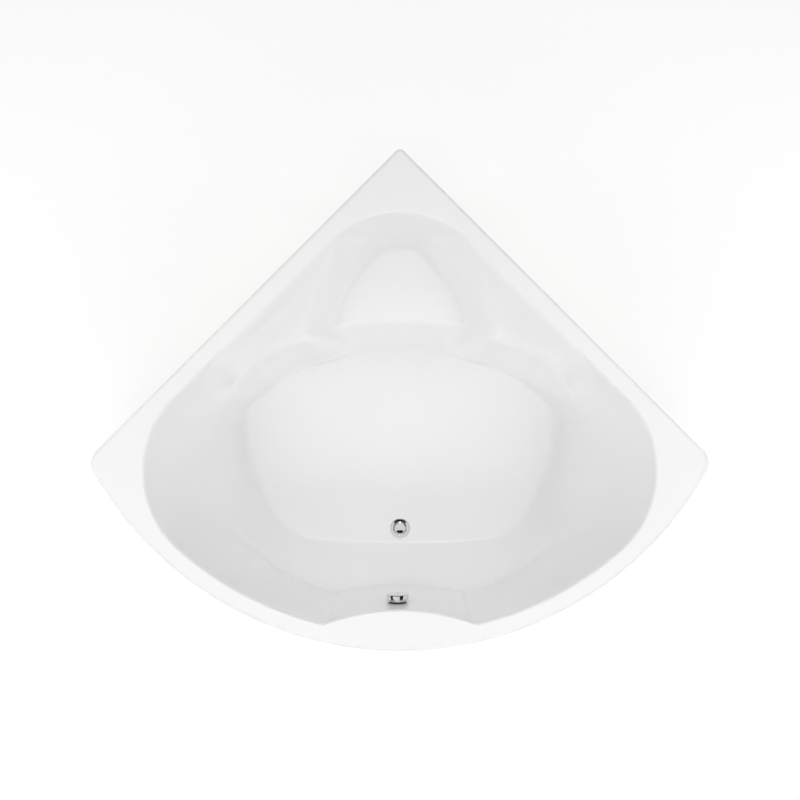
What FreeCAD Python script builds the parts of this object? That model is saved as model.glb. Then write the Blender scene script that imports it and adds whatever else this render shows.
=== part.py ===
import FreeCAD, Part
import math, os

V = FreeCAD.Vector
os.makedirs("parts", exist_ok=True)

# ---------------------------------------------------------------- driving dimensions (mm)
RIM_Z = 620.0          # rim top above the floor
SHELL_T = 6.0          # acrylic sheet with its glass-fibre backing
LIP_H = 40.0           # depth of the outer lip
LIP_ROUND = 10.0       # rounding of the lip's top edge

# ---------------------------------------------------------------- plan of the bath; x to the right, y towards the room corner
CY = -100.0            # rays start at (0, CY)
WALL_SUM = 826.58      # outline along the walls: |x| + y
R_FRONT = 1150.0
Y_FRONT_C = 331.7
R_APEX = 20.0
R_SIDE = 60.0
RIM_W = 51.0
OPEN_SUM = WALL_SUM - RIM_W * math.sqrt(2.0)
R_OPEN = R_FRONT - RIM_W
R_ARCH = 322.0
R_LOBE = 346.0
R_BUMP = 714.0
Y_BUMP = -692.3
R_BUMP_FILLET = 40.0
FLOOR_H = 445.0
SEAT_H = 250.0
ARM_H = 95.0


def ang(x, y):
    return math.degrees(math.atan2(y - CY, x))


def hit_circle(a, cx, cy, r, far=True):
    c, s = math.cos(math.radians(a)), math.sin(math.radians(a))
    b = c * cx + s * (cy - CY)
    q = cx * cx + (cy - CY) ** 2 - r * r
    d = math.sqrt(max(b * b - q, 0.0))
    return b + d if far else b - d


def hit_line(a, total):
    c, s = math.cos(math.radians(a)), math.sin(math.radians(a))
    return (total - CY) / (c + s)


def tangent_fillet(total, big, r):
    """Centre of a fillet r inside the line x + y = total and inside the circle big about (0, Y_FRONT_C)."""
    t = total - r * math.sqrt(2.0)
    k = t - Y_FRONT_C
    q = big - r
    cx = (k + math.sqrt(k * k - 2.0 * (k * k - q * q))) / 2.0
    return cx, t - cx


LOBE_X, LOBE_Y = tangent_fillet(OPEN_SUM, R_OPEN, R_LOBE)
SIDE_X, SIDE_Y = tangent_fillet(WALL_SUM, R_FRONT, R_SIDE)
ARCH_Y = OPEN_SUM - R_ARCH * math.sqrt(2.0)
APEX_Y = WALL_SUM - R_APEX * math.sqrt(2.0)


def on_circle(cx, cy, r):
    d = math.hypot(cx, cy - Y_FRONT_C)
    return cx * r / d, Y_FRONT_C + (cy - Y_FRONT_C) * r / d


BUMP_C = Y_BUMP - R_BUMP
_d = Y_FRONT_C - BUMP_C
_q = R_BUMP + R_BUMP_FILLET
_p = R_OPEN - R_BUMP_FILLET
_a = (_q * _q - _p * _p + _d * _d) / (2.0 * _d)
BF_X, BF_Y = math.sqrt(_q * _q - _a * _a), BUMP_C + _a
_t1 = (BF_X * R_BUMP / _q, BUMP_C + _a * R_BUMP / _q)
_t2 = on_circle(BF_X, BF_Y, R_OPEN)
A_BUMP1, A_BUMP2 = ang(*_t1), ang(*_t2)
A_LOBE1 = ang(*on_circle(LOBE_X, LOBE_Y, R_OPEN))
A_LOBE2 = ang(LOBE_X + R_LOBE / math.sqrt(2), LOBE_Y + R_LOBE / math.sqrt(2))
A_ARCH = ang(R_ARCH / math.sqrt(2), ARCH_Y + R_ARCH / math.sqrt(2))
A_SIDE1 = ang(*on_circle(SIDE_X, SIDE_Y, R_FRONT))
A_SIDE2 = ang(SIDE_X + R_SIDE / math.sqrt(2), SIDE_Y + R_SIDE / math.sqrt(2))
A_APEX = ang(R_APEX / math.sqrt(2), APEX_Y + R_APEX / math.sqrt(2))


def r_open(a):
    if a < A_BUMP1:
        return hit_circle(a, 0.0, BUMP_C, R_BUMP, False)
    if a < A_BUMP2:
        return hit_circle(a, BF_X, BF_Y, R_BUMP_FILLET)
    if a < A_LOBE1:
        return hit_circle(a, 0.0, Y_FRONT_C, R_OPEN)
    if a < A_LOBE2:
        return hit_circle(a, LOBE_X, LOBE_Y, R_LOBE)
    if a < A_ARCH:
        return hit_line(a, OPEN_SUM)
    return hit_circle(a, 0.0, ARCH_Y, R_ARCH)


def r_out(a, inset=0.0):
    """Outline, or a curve inside it by inset."""
    if a < A_SIDE1:
        return hit_circle(a, 0.0, Y_FRONT_C, R_FRONT - inset)
    if a < A_SIDE2:
        return hit_circle(a, SIDE_X, SIDE_Y, R_SIDE - inset)
    if a < A_APEX:
        return hit_line(a, WALL_SUM - inset * math.sqrt(2.0))
    return hit_circle(a, 0.0, APEX_Y, R_APEX - inset)


class Spline:
    """Natural or clamped cubic through points, evaluated outside as its end value."""

    def __init__(self, pts, flat_start=False, flat_end=False):
        self.x = [p[0] for p in pts]
        self.y = [p[1] for p in pts]
        n = len(pts)
        h = [self.x[i + 1] - self.x[i] for i in range(n - 1)]
        a, b, c, d = [0.0] * n, [1.0] * n, [0.0] * n, [0.0] * n
        for i in range(1, n - 1):
            a[i], b[i], c[i] = h[i - 1], 2 * (h[i - 1] + h[i]), h[i]
            d[i] = 6 * ((self.y[i + 1] - self.y[i]) / h[i] - (self.y[i] - self.y[i - 1]) / h[i - 1])
        if flat_start:
            b[0], c[0], d[0] = 2 * h[0], h[0], 6 * (self.y[1] - self.y[0]) / h[0]
        if flat_end:
            a[-1], b[-1], d[-1] = h[-1], 2 * h[-1], -6 * (self.y[-1] - self.y[-2]) / h[-1]
        for i in range(1, n):
            w = a[i] / b[i - 1]
            b[i] -= w * c[i - 1]
            d[i] -= w * d[i - 1]
        m = [0.0] * n
        m[-1] = d[-1] / b[-1]
        for i in range(n - 2, -1, -1):
            m[i] = (d[i] - c[i] * m[i + 1]) / b[i]
        self.m, self.h = m, h

    def __call__(self, t):
        x, y, m = self.x, self.y, self.m
        if t <= x[0]:
            return y[0]
        if t >= x[-1]:
            return y[-1]
        lo, hi = 0, len(x) - 1
        while hi - lo > 1:
            k = (lo + hi) // 2
            if x[k] <= t:
                lo = k
            else:
                hi = k
        h = self.h[lo]
        u, v = (x[hi] - t) / h, (t - x[lo]) / h
        return u * y[lo] + v * y[hi] + ((u ** 3 - u) * m[lo] + (v ** 3 - v) * m[hi]) * h * h / 6


def polar(pts):
    return [(ang(x, y), math.hypot(x, y - CY)) for x, y in pts]


class Ramp:
    """Monotone cubic through points, flat at both ends."""

    def __init__(self, pts):
        self.x = [p[0] for p in pts]
        self.y = [p[1] for p in pts]
        n = len(pts)
        s = [(self.y[i + 1] - self.y[i]) / (self.x[i + 1] - self.x[i]) for i in range(n - 1)]
        self.d = [0.0] * n
        for i in range(1, n - 1):
            if s[i - 1] * s[i] > 0:
                self.d[i] = 2.0 * s[i - 1] * s[i] / (s[i - 1] + s[i])

    def __call__(self, t):
        x, y, d = self.x, self.y, self.d
        if t <= x[0]:
            return y[0]
        if t >= x[-1]:
            return y[-1]
        i = 0
        while x[i + 1] < t:
            i += 1
        h = x[i + 1] - x[i]
        u = (t - x[i]) / h
        return (y[i] * (1 + 2 * u) * (1 - u) ** 2 + y[i + 1] * u * u * (3 - 2 * u)
                + h * d[i] * u * (1 - u) ** 2 + h * d[i + 1] * u * u * (u - 1))


# floor outline (foot of every wall)
FLOOR = Spline(polar([(0.0, -523.0), (140.0, -521.0), (270.0, -514.0), (362.0, -502.0), (415.0, -472.0), (468.0, -420.0), (536.0, -310.0),
                      (574.0, -200.0), (586.0, -110.0), (579.0, -25.0), (552.0, 27.0), (490.0, 78.0), (423.0, 122.0), (330.0, 153.0),
                      (200.0, 176.0), (0.0, 186.0)]), True, True)
# slope of the wall below the rim, depth per plan millimetre, by ray angle
UPPER = Ramp([(-90, 22.0), (-81, 18.0), (-74, 12.5), (-69, 8.4), (-60.7, 8.2), (-52.7, 7.0), (-46.8, 5.6), (-40.3, 4.4), (-30, 3.3),
                (-18, 2.6), (-5, 2.4), (8, 2.6), (25, 3.0), (50, 3.2), (70, 3.2), (90, 3.3)])
# slope of the toe above the floor outline
TOE = Ramp([(-90, 0.57), (-75, 0.55), (-60.7, 0.47), (-52.7, 0.55), (-46.8, 0.70), (-40.3, 0.72), (-30, 0.85), (-18, 1.05), (-5, 1.2),
              (6, 0.9), (14, 0.3), (20, 0.0), (50, 0.0), (90, 0.0)])
ROUND = Ramp([(-90, 9.0), (-62, 9.0), (-40, 11.0), (-10, 14.0), (60, 14.0), (90, 12.0)])
MIX_WALL = Ramp([(-90, 40.0), (-76, 26.0), (-64, 12.0), (-52, 12.0), (-44, 22.0), (-34, 70.0), (-20, 120.0), (5, 120.0), (25, 60.0), (90, 40.0)])
MIX_FLOOR = Ramp([(-90, 7.0), (-58, 7.0), (-50, 10.0), (-42, 24.0), (-30, 66.0), (-15, 92.0), (-2, 92.0), (10, 70.0), (24, 60.0), (55, 52.0), (70, 30.0), (90, 26.0)])
ARM_FRONT = Spline([(0.0, 226.0), (200.0, 224.0), (308.0, 212.0), (369.0, 197.0), (430.0, 172.0), (476.0, 146.0), (530.0, 99.0), (580.0, 42.0), (640.0, -40.0), (760.0, -220.0)], True, False)
ARM_INNER = Spline([(0.0, 316.0), (200.0, 316.0), (254.0, 311.0), (361.0, 280.0), (428.0, 246.0), (490.0, 221.0), (550.0, 202.0), (640.0, 182.0)], True, False)
SEAT_FRONT = Spline([(0.0, 276.0), (80.0, 273.0), (157.0, 266.0), (224.0, 260.0), (300.0, 256.0), (400.0, 253.0), (600.0, 250.0)], True, True)


def smin(a, b, k):
    if k <= 1e-9:
        return min(a, b)
    d = abs(a - b)
    if d >= k:
        return min(a, b)
    e = (k - d) / k
    return min(a, b) - e * e * e * k / 6.0


def smax(a, b, k):
    return -smin(-a, -b, k)


def step(t):
    t = min(max(t, 0.0), 1.0)
    return t * t * (3 - 2 * t)


def depth(x, y, a=None, r=None):
    """Depth of the basin below the rim at a plan point inside the opening."""
    x = abs(x)
    if a is None:
        a, r = ang(x, y), math.hypot(x, y - CY)
    de = r_open(a) - r
    if de <= 0.0:
        return 0.0
    df = r - FLOOR(a)
    # wall from the rim, with a round edge
    m = UPPER(a)
    t = math.atan(m)
    rr = ROUND(a)
    s0 = rr * math.sin(t)
    if de < s0:
        wall = rr - math.sqrt(rr * rr - de * de)
    else:
        wall = rr * (1 - math.cos(t)) + m * (de - s0)
    near = min(1.0, de / 60.0)
    toe = FLOOR_H - TOE(a) * df + 120.0 * step((a - 2.0) / 22.0)
    h = smin(wall, toe, MIX_WALL(a) * near)
    # seat with its riser
    if y > -60.0:
        ds = SEAT_FRONT(x) - y
        seat = SEAT_H + smax(0.0, 2.12 * ds, 26.0) - 6.0 * step((y - 276.0) / 270.0)
        h = smin(h, seat, (34.0 + 46.0 * step((y - 320.0) / 130.0)) * near)
    # armrests, each a ledge that falls steeply to the floor and runs out into the side back
    if y > -260.0:
        din = (ARM_INNER(y) - x) * 0.92
        f = 1.0 / math.sqrt(1.0 + ((ARM_FRONT(x + 1) - ARM_FRONT(x - 1)) / 2) ** 2)
        dfr = (ARM_FRONT(x) - y) * f
        away = (x - y) / math.sqrt(2.0)
        run = step((away - 262.0) / 290.0)
        top = ARM_H * (1.0 - math.exp(-(de / 78.0) ** 2)) + 10.0 * step(de / 120.0) + 370.0 * run * min(1.0, de / 100.0)
        fall = math.hypot((2.05 - 0.65 * step((y - 370.0) / 170.0)) * smax(0.0, din, 20.0), 4.4 * smax(0.0, dfr, 22.0))
        h = smin(h, top + fall, (72.0 + 30.0 * run) * near * near)
    return max(smin(h, FLOOR_H, MIX_FLOOR(a)), 0.0)


# ---------------------------------------------------------------- bath shell
FLOOR_Z = RIM_Z - FLOOR_H
DRAIN_Y = -472.5
OVER_X, OVER_Z = -8.0, 512.0


def ray_angles():
    """Ray angles of the right half, closer together where the plan turns sharply."""
    marks = [(-68.8, 1.6, 1.6), (-5.4, 2.4, 2.6), (90.0, 1.6, 7.0), (46.0, 9.0, 0.9), (24.0, 7.0, 0.5), (-47.0, 8.0, 0.4)]
    n = 4000
    acc = [0.0]
    for i in range(n):
        a = -90.0 + 180.0 * (i + 0.5) / n
        w = 1.0
        for c, s, k in marks:
            w += k * math.exp(-((a - c) / s) ** 2)
        acc.append(acc[-1] + w)
    rows = HALF_RAYS
    out, j = [], 0
    for k in range(rows + 1):
        t = acc[-1] * k / rows
        while j < n - 1 and acc[j + 1] < t:
            j += 1
        f = (t - acc[j]) / (acc[j + 1] - acc[j])
        out.append(-90.0 + 180.0 * (j + f) / n)
    out[0], out[-1] = -90.0, 90.0
    return out


HALF_RAYS = 72
FRONT_RAYS = 19
WALL_ROWS = 36


def profile(a):
    """One ray's points (r, z) from the flat floor to the foot of the lip."""
    re, ro, rf = r_open(a), r_out(a), FLOOR(a)
    r0 = rf - 75.0 - 40.0 * step((a + 62.0) / 22.0)
    c, s = math.cos(math.radians(a)), math.sin(math.radians(a))
    n = 520
    rs = [r0 + (re - r0) * i / n for i in range(n + 1)]
    zs = [RIM_Z - depth(c * r, CY + s * r, a, r) for r in rs]
    # arc length, weighted by how much the profile turns
    turn = [0.0] * (n + 1)
    for i in range(1, n):
        a1 = math.atan2(zs[i] - zs[i - 1], rs[i] - rs[i - 1])
        a2 = math.atan2(zs[i + 1] - zs[i], rs[i + 1] - rs[i])
        turn[i] = abs(a2 - a1)
    length = [math.hypot(rs[i + 1] - rs[i], zs[i + 1] - zs[i]) for i in range(n)]
    total = sum(length)
    # spread each turn over a band of the arc so that rows change slowly
    pos = [0.0]
    for d in length:
        pos.append(pos[-1] + d)
    w = [1.0] * n
    band = 26.0
    for i in range(1, n):
        if turn[i] > 0.002:
            j = i
            lo = pos[i] - band
            while j > 0 and pos[j] > lo:
                j -= 1
            hi = pos[i] + band
            while j < n and pos[j] < hi:
                w[j] += 1.5 * turn[i] * (1 - abs(pos[j] - pos[i]) / band if abs(pos[j] - pos[i]) < band else 0.0)
                j += 1
    acc = [0.0]
    for i in range(n):
        acc.append(acc[-1] + length[i] * w[i])
    pts, j = [], 0
    for k in range(WALL_ROWS + 1):
        t = acc[-1] * k / WALL_ROWS
        while j < n - 1 and acc[j + 1] < t:
            j += 1
        f = (t - acc[j]) / (acc[j + 1] - acc[j])
        pts.append((rs[j] + f * (rs[j + 1] - rs[j]), zs[j] + f * (zs[j + 1] - zs[j])))
    pts[-1] = (re, RIM_Z)
    return pts


def shell_grid():
    half = ray_angles()
    right = []
    for a in half:
        c, s = math.cos(math.radians(a)), math.sin(math.radians(a))
        right.append([(c * r, CY + s * r, z) for r, z in profile(a)])
    left = [[(-x, y, z) for x, y, z in row] for row in reversed(right[1:-1])]
    rows = right + left              # counter-clockwise from the front centre, closed
    for k in (0, len(half) - 1):
        rows[k] = [(0.0, y, z) for x, y, z in rows[k]]
    return rows


def normals(grid):
    m, n = len(grid), len(grid[0])
    out = []
    for i in range(m):
        a, b, row = grid[i - 1], grid[(i + 1) % m], []
        for j in range(n):
            j0, j1 = max(j - 1, 0), min(j + 1, n - 1)
            ux, uy, uz = (b[j][k] - a[j][k] for k in range(3))
            vx, vy, vz = (grid[i][j1][k] - grid[i][j0][k] for k in range(3))
            nx, ny, nz = uy * vz - uz * vy, uz * vx - ux * vz, ux * vy - uy * vx
            d = math.sqrt(nx * nx + ny * ny + nz * nz)
            row.append((-nx / d, -ny / d, -nz / d))
        out.append(row)
    return out


def solve_cyclic(y):
    """Control values of a periodic uniform cubic through y."""
    n = len(y)
    # (c[i-1] + 4 c[i] + c[i+1]) / 6 = y[i], by repeated sweeps
    c = list(y)
    for _ in range(40):
        for i in range(n):
            c[i] = (6.0 * y[i] - c[i - 1] - c[(i + 1) % n]) / 4.0
    return c


def solve_clamped(y):
    """Control values of a clamped uniform cubic through y (knots at the points, natural second end rows)."""
    n = len(y)
    # natural cubic: second derivatives
    b, d = [4.0] * n, [0.0] * n
    for i in range(1, n - 1):
        d[i] = 6.0 * (y[i + 1] - 2 * y[i] + y[i - 1])
    cp = [0.0] * n
    dp = [0.0] * n
    for i in range(1, n - 1):
        w = 4.0 - (cp[i - 1])
        cp[i] = 1.0 / w
        dp[i] = (d[i] - dp[i - 1]) / w
    m = [0.0] * n
    for i in range(n - 2, 0, -1):
        m[i] = dp[i] - cp[i] * m[i + 1]
    # first derivatives at the points
    g = [0.0] * n
    for i in range(n - 1):
        g[i] = (y[i + 1] - y[i]) - (2 * m[i] + m[i + 1]) / 6.0
    g[n - 1] = (y[-1] - y[-2]) + (m[n - 2] + 2 * m[n - 1]) / 6.0
    # C2 spline's poles: ends, then the de Boor points
    poles = [y[0], y[0] + g[0] / 3.0]
    for i in range(1, n - 1):
        poles.append(y[i] - m[i] / 6.0)
    poles += [y[-1] - g[-1] / 3.0, y[-1]]
    return poles


def surface(grid):
    """Cubic surface through a grid that closes on itself in the first direction, as clamped patches."""
    m, n = len(grid), len(grid[0])
    # along each ray
    cols = []
    for row in grid:
        cols.append(list(zip(*[solve_clamped([p[k] for p in row]) for k in range(3)])))
    nv = len(cols[0])
    # round the bath
    ctrl = [[None] * nv for _ in range(m)]
    for j in range(nv):
        xs = [solve_cyclic([cols[i][j][k] for i in range(m)]) for k in range(3)]
        for i in range(m):
            ctrl[i][j] = (xs[0][i], xs[1][i], xs[2][i])
    # uniform non-clamped knots in the first direction: pad by wrapping
    pad = [ctrl[(i - 1) % m] for i in range(m + 3)]
    knots = [float(k) for k in range(-3, m + 4)]
    vk = [float(k) for k in range(n)]
    s = Part.BSplineSurface()
    s.buildFromPolesMultsKnots([[V(*p) for p in row] for row in pad], [1] * len(knots), [4] + [1] * (n - 2) + [4], knots, vk,
                               False, False, 3, 3)
    return s


def patches(grid, cuts):
    s = surface(grid)
    n = len(grid[0])
    out = []
    for a, b in zip(cuts, cuts[1:]):
        t = s.copy()
        t.segment(float(a), float(b), 0.0, float(n - 1))
        out.append(t)
    return out


def rim_wire(tiles, v):
    edges = []
    for t in tiles:
        u0, u1, v0, v1 = t.bounds()
        edges.append(t.vIso(v0 if v == 0 else v1).toShape())
    return Part.Wire(Part.__sortEdges__(edges))


def offset_grid(top, t, flat):
    """The same grid on the back of the sheet."""
    low = []
    for row, nr in zip(top, normals(top)):
        line = []
        for j, (p, q) in enumerate(zip(row, nr)):
            if j < flat or j == len(row) - 1:
                q = (0.0, 0.0, 1.0)
            line.append(tuple(p[k] - t * q[k] for k in range(3)))
        low.append(line)
    return low


def outline_wire(inset, z):
    """The bath's outline as lines and arcs, inset towards the middle."""
    d = inset
    q = math.sqrt(0.5)
    rf, rs, ra = R_FRONT - d, R_SIDE - d, R_APEX - d
    k = math.hypot(SIDE_X, SIDE_Y - Y_FRONT_C)
    p1 = V(SIDE_X * rf / k, Y_FRONT_C + (SIDE_Y - Y_FRONT_C) * rf / k, z)
    p2 = V(SIDE_X + rs * q, SIDE_Y + rs * q, z)
    m12 = (p1 + p2) * 0.5 - V(SIDE_X, SIDE_Y, z)
    m12 = V(SIDE_X, SIDE_Y, z) + m12 * (rs / m12.Length)
    p3 = V(ra * q, APEX_Y + ra * q, z)
    m34 = V(0, APEX_Y + ra, z)
    w = lambda p: V(-p.x, p.y, p.z)
    edges = [Part.Arc(w(p1), V(0, Y_FRONT_C - rf, z), p1).toShape(), Part.Arc(p1, m12, p2).toShape(), Part.makeLine(p2, p3),
             Part.Arc(p3, m34, w(p3)).toShape(), Part.makeLine(w(p3), w(p2)), Part.Arc(w(p2), w(m12), w(p1)).toShape()]
    return Part.Wire(edges)


def slab(inset, z0, z1, r):
    """Prism on the outline with its top edge rounded."""
    s = Part.Face(outline_wire(inset, z0)).extrude(V(0, 0, z1 - z0))
    return s.makeFillet(r, [e for e in s.Edges if all(abs(v.Z - z1) < 1e-6 for v in e.Vertexes)])


def make_shell():
    top = shell_grid()
    top = top[HALF_RAYS:] + top[:HALF_RAYS]
    low = offset_grid(top, SHELL_T, 3)
    cuts = [0, HALF_RAYS - FRONT_RAYS, HALF_RAYS + FRONT_RAYS, 2 * HALF_RAYS]
    a, b = patches(top, cuts), patches(low, cuts)
    faces = [t.toShape() for t in a] + [t.toShape() for t in b]
    faces.append(Part.Face(rim_wire(a, 0)))
    faces.append(Part.Face(rim_wire(b, 0)))
    lid = slab(0.0, RIM_Z - LIP_H, RIM_Z, LIP_ROUND).cut(slab(SHELL_T, RIM_Z - LIP_H - 5.0, RIM_Z - SHELL_T, LIP_ROUND - SHELL_T))
    for f in lid.Faces:
        if isinstance(f.Surface, Part.Plane) and f.BoundBox.ZLength < 1e-6 and f.BoundBox.ZMin > RIM_Z - SHELL_T - 1.0:
            hole = rim_wire(a if f.BoundBox.ZMin > RIM_Z - 1.0 else b, 1)
            faces.append(Part.makeFace([f.OuterWire, hole], "Part::FaceMakerBullseye"))
        else:
            faces.append(f)
    sewn = Part.makeShell(faces)
    sewn.sewShape()
    solid = Part.makeSolid(sewn)
    if solid.Volume < 0:
        solid.reverse()
    return solid


# ---------------------------------------------------------------- helpers
def box(x0, x1, y0, y1, z0, z1):
    return Part.makeBox(x1 - x0, y1 - y0, z1 - z0, V(x0, y0, z0))


def rod(r, p, q):
    p, q = V(*p), V(*q)
    return Part.makeCylinder(r, (q - p).Length, p, q - p)


def tube(r1, r0, p, q):
    return rod(r1, p, q).cut(rod(r0, p, q))


def turned(pts, p=(0, 0, 0), d=(0, 0, 1)):
    """Body of revolution from (radius, height) points, on the axis d through p."""
    w = Part.makePolygon([V(r, 0, z) for r, z in pts + pts[:1]])
    s = Part.Face(w).revolve(V(0, 0, 0), V(0, 0, 1), 360)
    s.Placement = FreeCAD.Placement(V(*p), FreeCAD.Rotation(V(0, 0, 1), V(*d)))
    return s


def plate(pts, z0, z1):
    return Part.Face(Part.makePolygon([V(x, y, z0) for x, y in pts + pts[:1]])).extrude(V(0, 0, z1 - z0))


def hexagon(af, p, d, h):
    r = af / math.sqrt(3.0)
    s = Part.Face(Part.makePolygon([V(r * math.cos(math.radians(60 * k + 30)), r * math.sin(math.radians(60 * k + 30)), 0) for k in range(7)]))
    s = s.extrude(V(0, 0, h))
    s.Placement = FreeCAD.Placement(V(*p), FreeCAD.Rotation(V(0, 0, 1), V(*d)))
    return s


def square_tube(b, t, p, q, side=(0, 0, 1)):
    """Hollow square section between two points, one face square to side."""
    p, q = V(*p), V(*q)
    d = (q - p).normalize()
    n = V(*side)
    m = d.cross(n)

    def face(h):
        c = [p + n * (i * h) + m * (j * h) for i, j in ((1, 1), (1, -1), (-1, -1), (-1, 1))]
        return Part.Face(Part.makePolygon(c + c[:1])).extrude(q - p)
    return face(b / 2.0).cut(face(b / 2.0 - t))


def save(name, shapes):
    if not isinstance(shapes, (list, tuple)):
        shapes = [shapes]
    solids = [k for s in shapes for k in s.Solids]
    out = solids[0] if len(solids) == 1 else Part.makeCompound(solids)
    out.exportStep("parts/%s.step" % name)


def mirror(s):
    return s.mirror(V(0, 0, 0), V(1, 0, 0))


Q = math.sqrt(0.5)

# ---------------------------------------------------------------- bath shell with its two holes
DRAIN_R, OVER_R = 26.0, 25.0
shell = make_shell()
shell = shell.cut(rod(DRAIN_R, (0, DRAIN_Y, FLOOR_Z - 40), (0, DRAIN_Y, FLOOR_Z + 20)))
shell = shell.cut(rod(OVER_R, (OVER_X, -715, OVER_Z), (OVER_X, -655, OVER_Z)))
save("bath_shell", shell)

# ---------------------------------------------------------------- steel frame under the bath
TUBE, WALL = 25.0, 2.0
RUN_X = 330.0
BOARD_Z0, BOARD_Z1 = 151.0, FLOOR_Z - SHELL_T
RUN_Z = BOARD_Z0 - TUBE / 2
BEAM_Z = RUN_Z - TUBE
BEAM_Y = -190.0
LEG_Y_FRONT, LEG_X_SIDE, LEG_Y_BACK = -655.0, 830.0, 640.0
UP_X, UP_Y_BACK, UP_Y_FRONT, UP_TOP = 905.0, 722.5, -742.0, 599.0
M12 = 6.0
LEG_HOLE = 6.4

legs = {
    "back": (0.0, LEG_Y_BACK, RUN_Z),
    "left": (-LEG_X_SIDE, BEAM_Y, BEAM_Z),
    "right": (LEG_X_SIDE, BEAM_Y, BEAM_Z),
    "front_left": (-RUN_X, LEG_Y_FRONT, RUN_Z),
    "front_right": (RUN_X, LEG_Y_FRONT, RUN_Z),
}
leg_holes = [rod(LEG_HOLE, (x, y, z - 20), (x, y, z + 20)) for x, y, z in legs.values()]

board_screw_y = (-380.0, -60.0, 60.0)
board_screws = []
for sx in (-1, 1):
    for y in board_screw_y:
        board_screws.append(rod(2.5, (sx * RUN_X, y, RUN_Z - TUBE / 2), (sx * RUN_X, y, BOARD_Z0 + 12)).fuse(
            turned([(0, 0), (5.5, 0), (5.0, -2.6), (3.4, -4.0), (0, -4.0)], (sx * RUN_X, y, RUN_Z - TUBE / 2))))

# angle brackets between beams and uprights: (corner on the beam's top, direction along the beam away from the upright)
corners = [((0.0, UP_Y_BACK - TUBE / 2, BOARD_Z0), (0, -1)), ((UP_X - TUBE / 2, BEAM_Y, BEAM_Z + TUBE / 2), (-1, 0)),
           ((-UP_X + TUBE / 2, BEAM_Y, BEAM_Z + TUBE / 2), (1, 0)), ((RUN_X, UP_Y_FRONT + 10, BOARD_Z0), (0, 1)),
           ((-RUN_X, UP_Y_FRONT + 10, BOARD_Z0), (0, 1))]
brackets, bolts, nuts = [], [], []
for (cx, cy, cz), (dx, dy) in corners:
    def at(a, b, c):
        return (cx + dx * a - dy * b, cy + dy * a + dx * b, cz + c)
    d = V(dx, dy, 0)

    def block(a0, a1, b0, b1, c0, c1):
        p = [at(a0, b0, c0), at(a1, b0, c0), at(a1, b1, c0), at(a0, b1, c0)]
        return Part.Face(Part.makePolygon([V(*k) for k in p + p[:1]])).extrude(V(0, 0, c1 - c0))
    thick = 20.0 if abs(cx) == RUN_X else TUBE
    s = block(0, 36, -10, 10, 0, 3).fuse(block(0, 3, -10, 10, 3, 40))
    v0, v1 = at(22, 0, -TUBE - 7), at(22, 0, 9)
    h0, h1 = at(8, 0, 26), at(-thick - 7, 0, 26)
    bolts.append(rod(3.0, v0, at(22, 0, 3)).fuse(hexagon(10, at(22, 0, 3), (0, 0, 1), 4.4)))
    bolts.append(rod(3.0, h1, at(3, 0, 26)).fuse(hexagon(10, at(3, 0, 26), (dx, dy, 0), 4.4)))
    nuts.append(hexagon(10, at(22, 0, -TUBE), (0, 0, -1), 5).cut(rod(3.0, v0, v1)))
    nuts.append(hexagon(10, at(-thick, 0, 26), (-dx, -dy, 0), 5).cut(rod(3.0, h0, h1)))
    brackets.append(s.cut(rod(3.0, v0, v1)).cut(rod(3.0, h0, h1)))
drill = Part.makeCompound(bolts + board_screws + leg_holes)

runner = square_tube(TUBE, WALL, (RUN_X, UP_Y_FRONT + 10, RUN_Z), (RUN_X, 120, RUN_Z)).cut(drill)
save("runners", [runner, mirror(runner)])
save("cross_beam", square_tube(TUBE, WALL, (-UP_X - 12.5, BEAM_Y, BEAM_Z), (UP_X + 12.5, BEAM_Y, BEAM_Z)).cut(drill))
save("spine_beam", square_tube(TUBE, WALL, (0, BEAM_Y - 12.5, RUN_Z), (0, 740, RUN_Z)).cut(drill))
save("upright_back", square_tube(TUBE, WALL, (0, UP_Y_BACK, BOARD_Z0), (0, UP_Y_BACK, UP_TOP), (1, 0, 0)).cut(drill))
u = square_tube(TUBE, WALL, (UP_X, BEAM_Y, BEAM_Z + 12.5), (UP_X, BEAM_Y, UP_TOP), (1, 0, 0)).cut(drill)
save("uprights_side", [u, mirror(u)])
u = square_tube(20.0, WALL, (RUN_X, UP_Y_FRONT, RUN_Z - 12.5), (RUN_X, UP_Y_FRONT, UP_TOP), (1, 0, 0)).cut(drill)
save("uprights_front", [u, mirror(u)])
save("frame_brackets", brackets)
save("frame_bolts", bolts)
save("frame_nuts", nuts)

caps = []
for p, d in (((0, 740, RUN_Z), (0, 1, 0)), ((UP_X + 12.5, BEAM_Y, BEAM_Z), (1, 0, 0)), ((-UP_X - 12.5, BEAM_Y, BEAM_Z), (-1, 0, 0)),
             ((RUN_X, 120, RUN_Z), (0, 1, 0)), ((-RUN_X, 120, RUN_Z), (0, 1, 0))):
    p, d = V(*p), V(*d)
    m = V(0, 0, 1).cross(d)

    def slab_at(h, a, b):
        c = [p + d * a + V(0, 0, 1) * (i * h) + m * (j * h) for i, j in ((1, 1), (1, -1), (-1, -1), (-1, 1))]
        return Part.Face(Part.makePolygon(c + c[:1])).extrude(d * (b - a))
    caps.append(slab_at(12.5, 0, 2.5).fuse(slab_at(10.3, -14, 0).cut(slab_at(8.3, -14, -2))))
save("tube_end_caps", caps)

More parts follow.
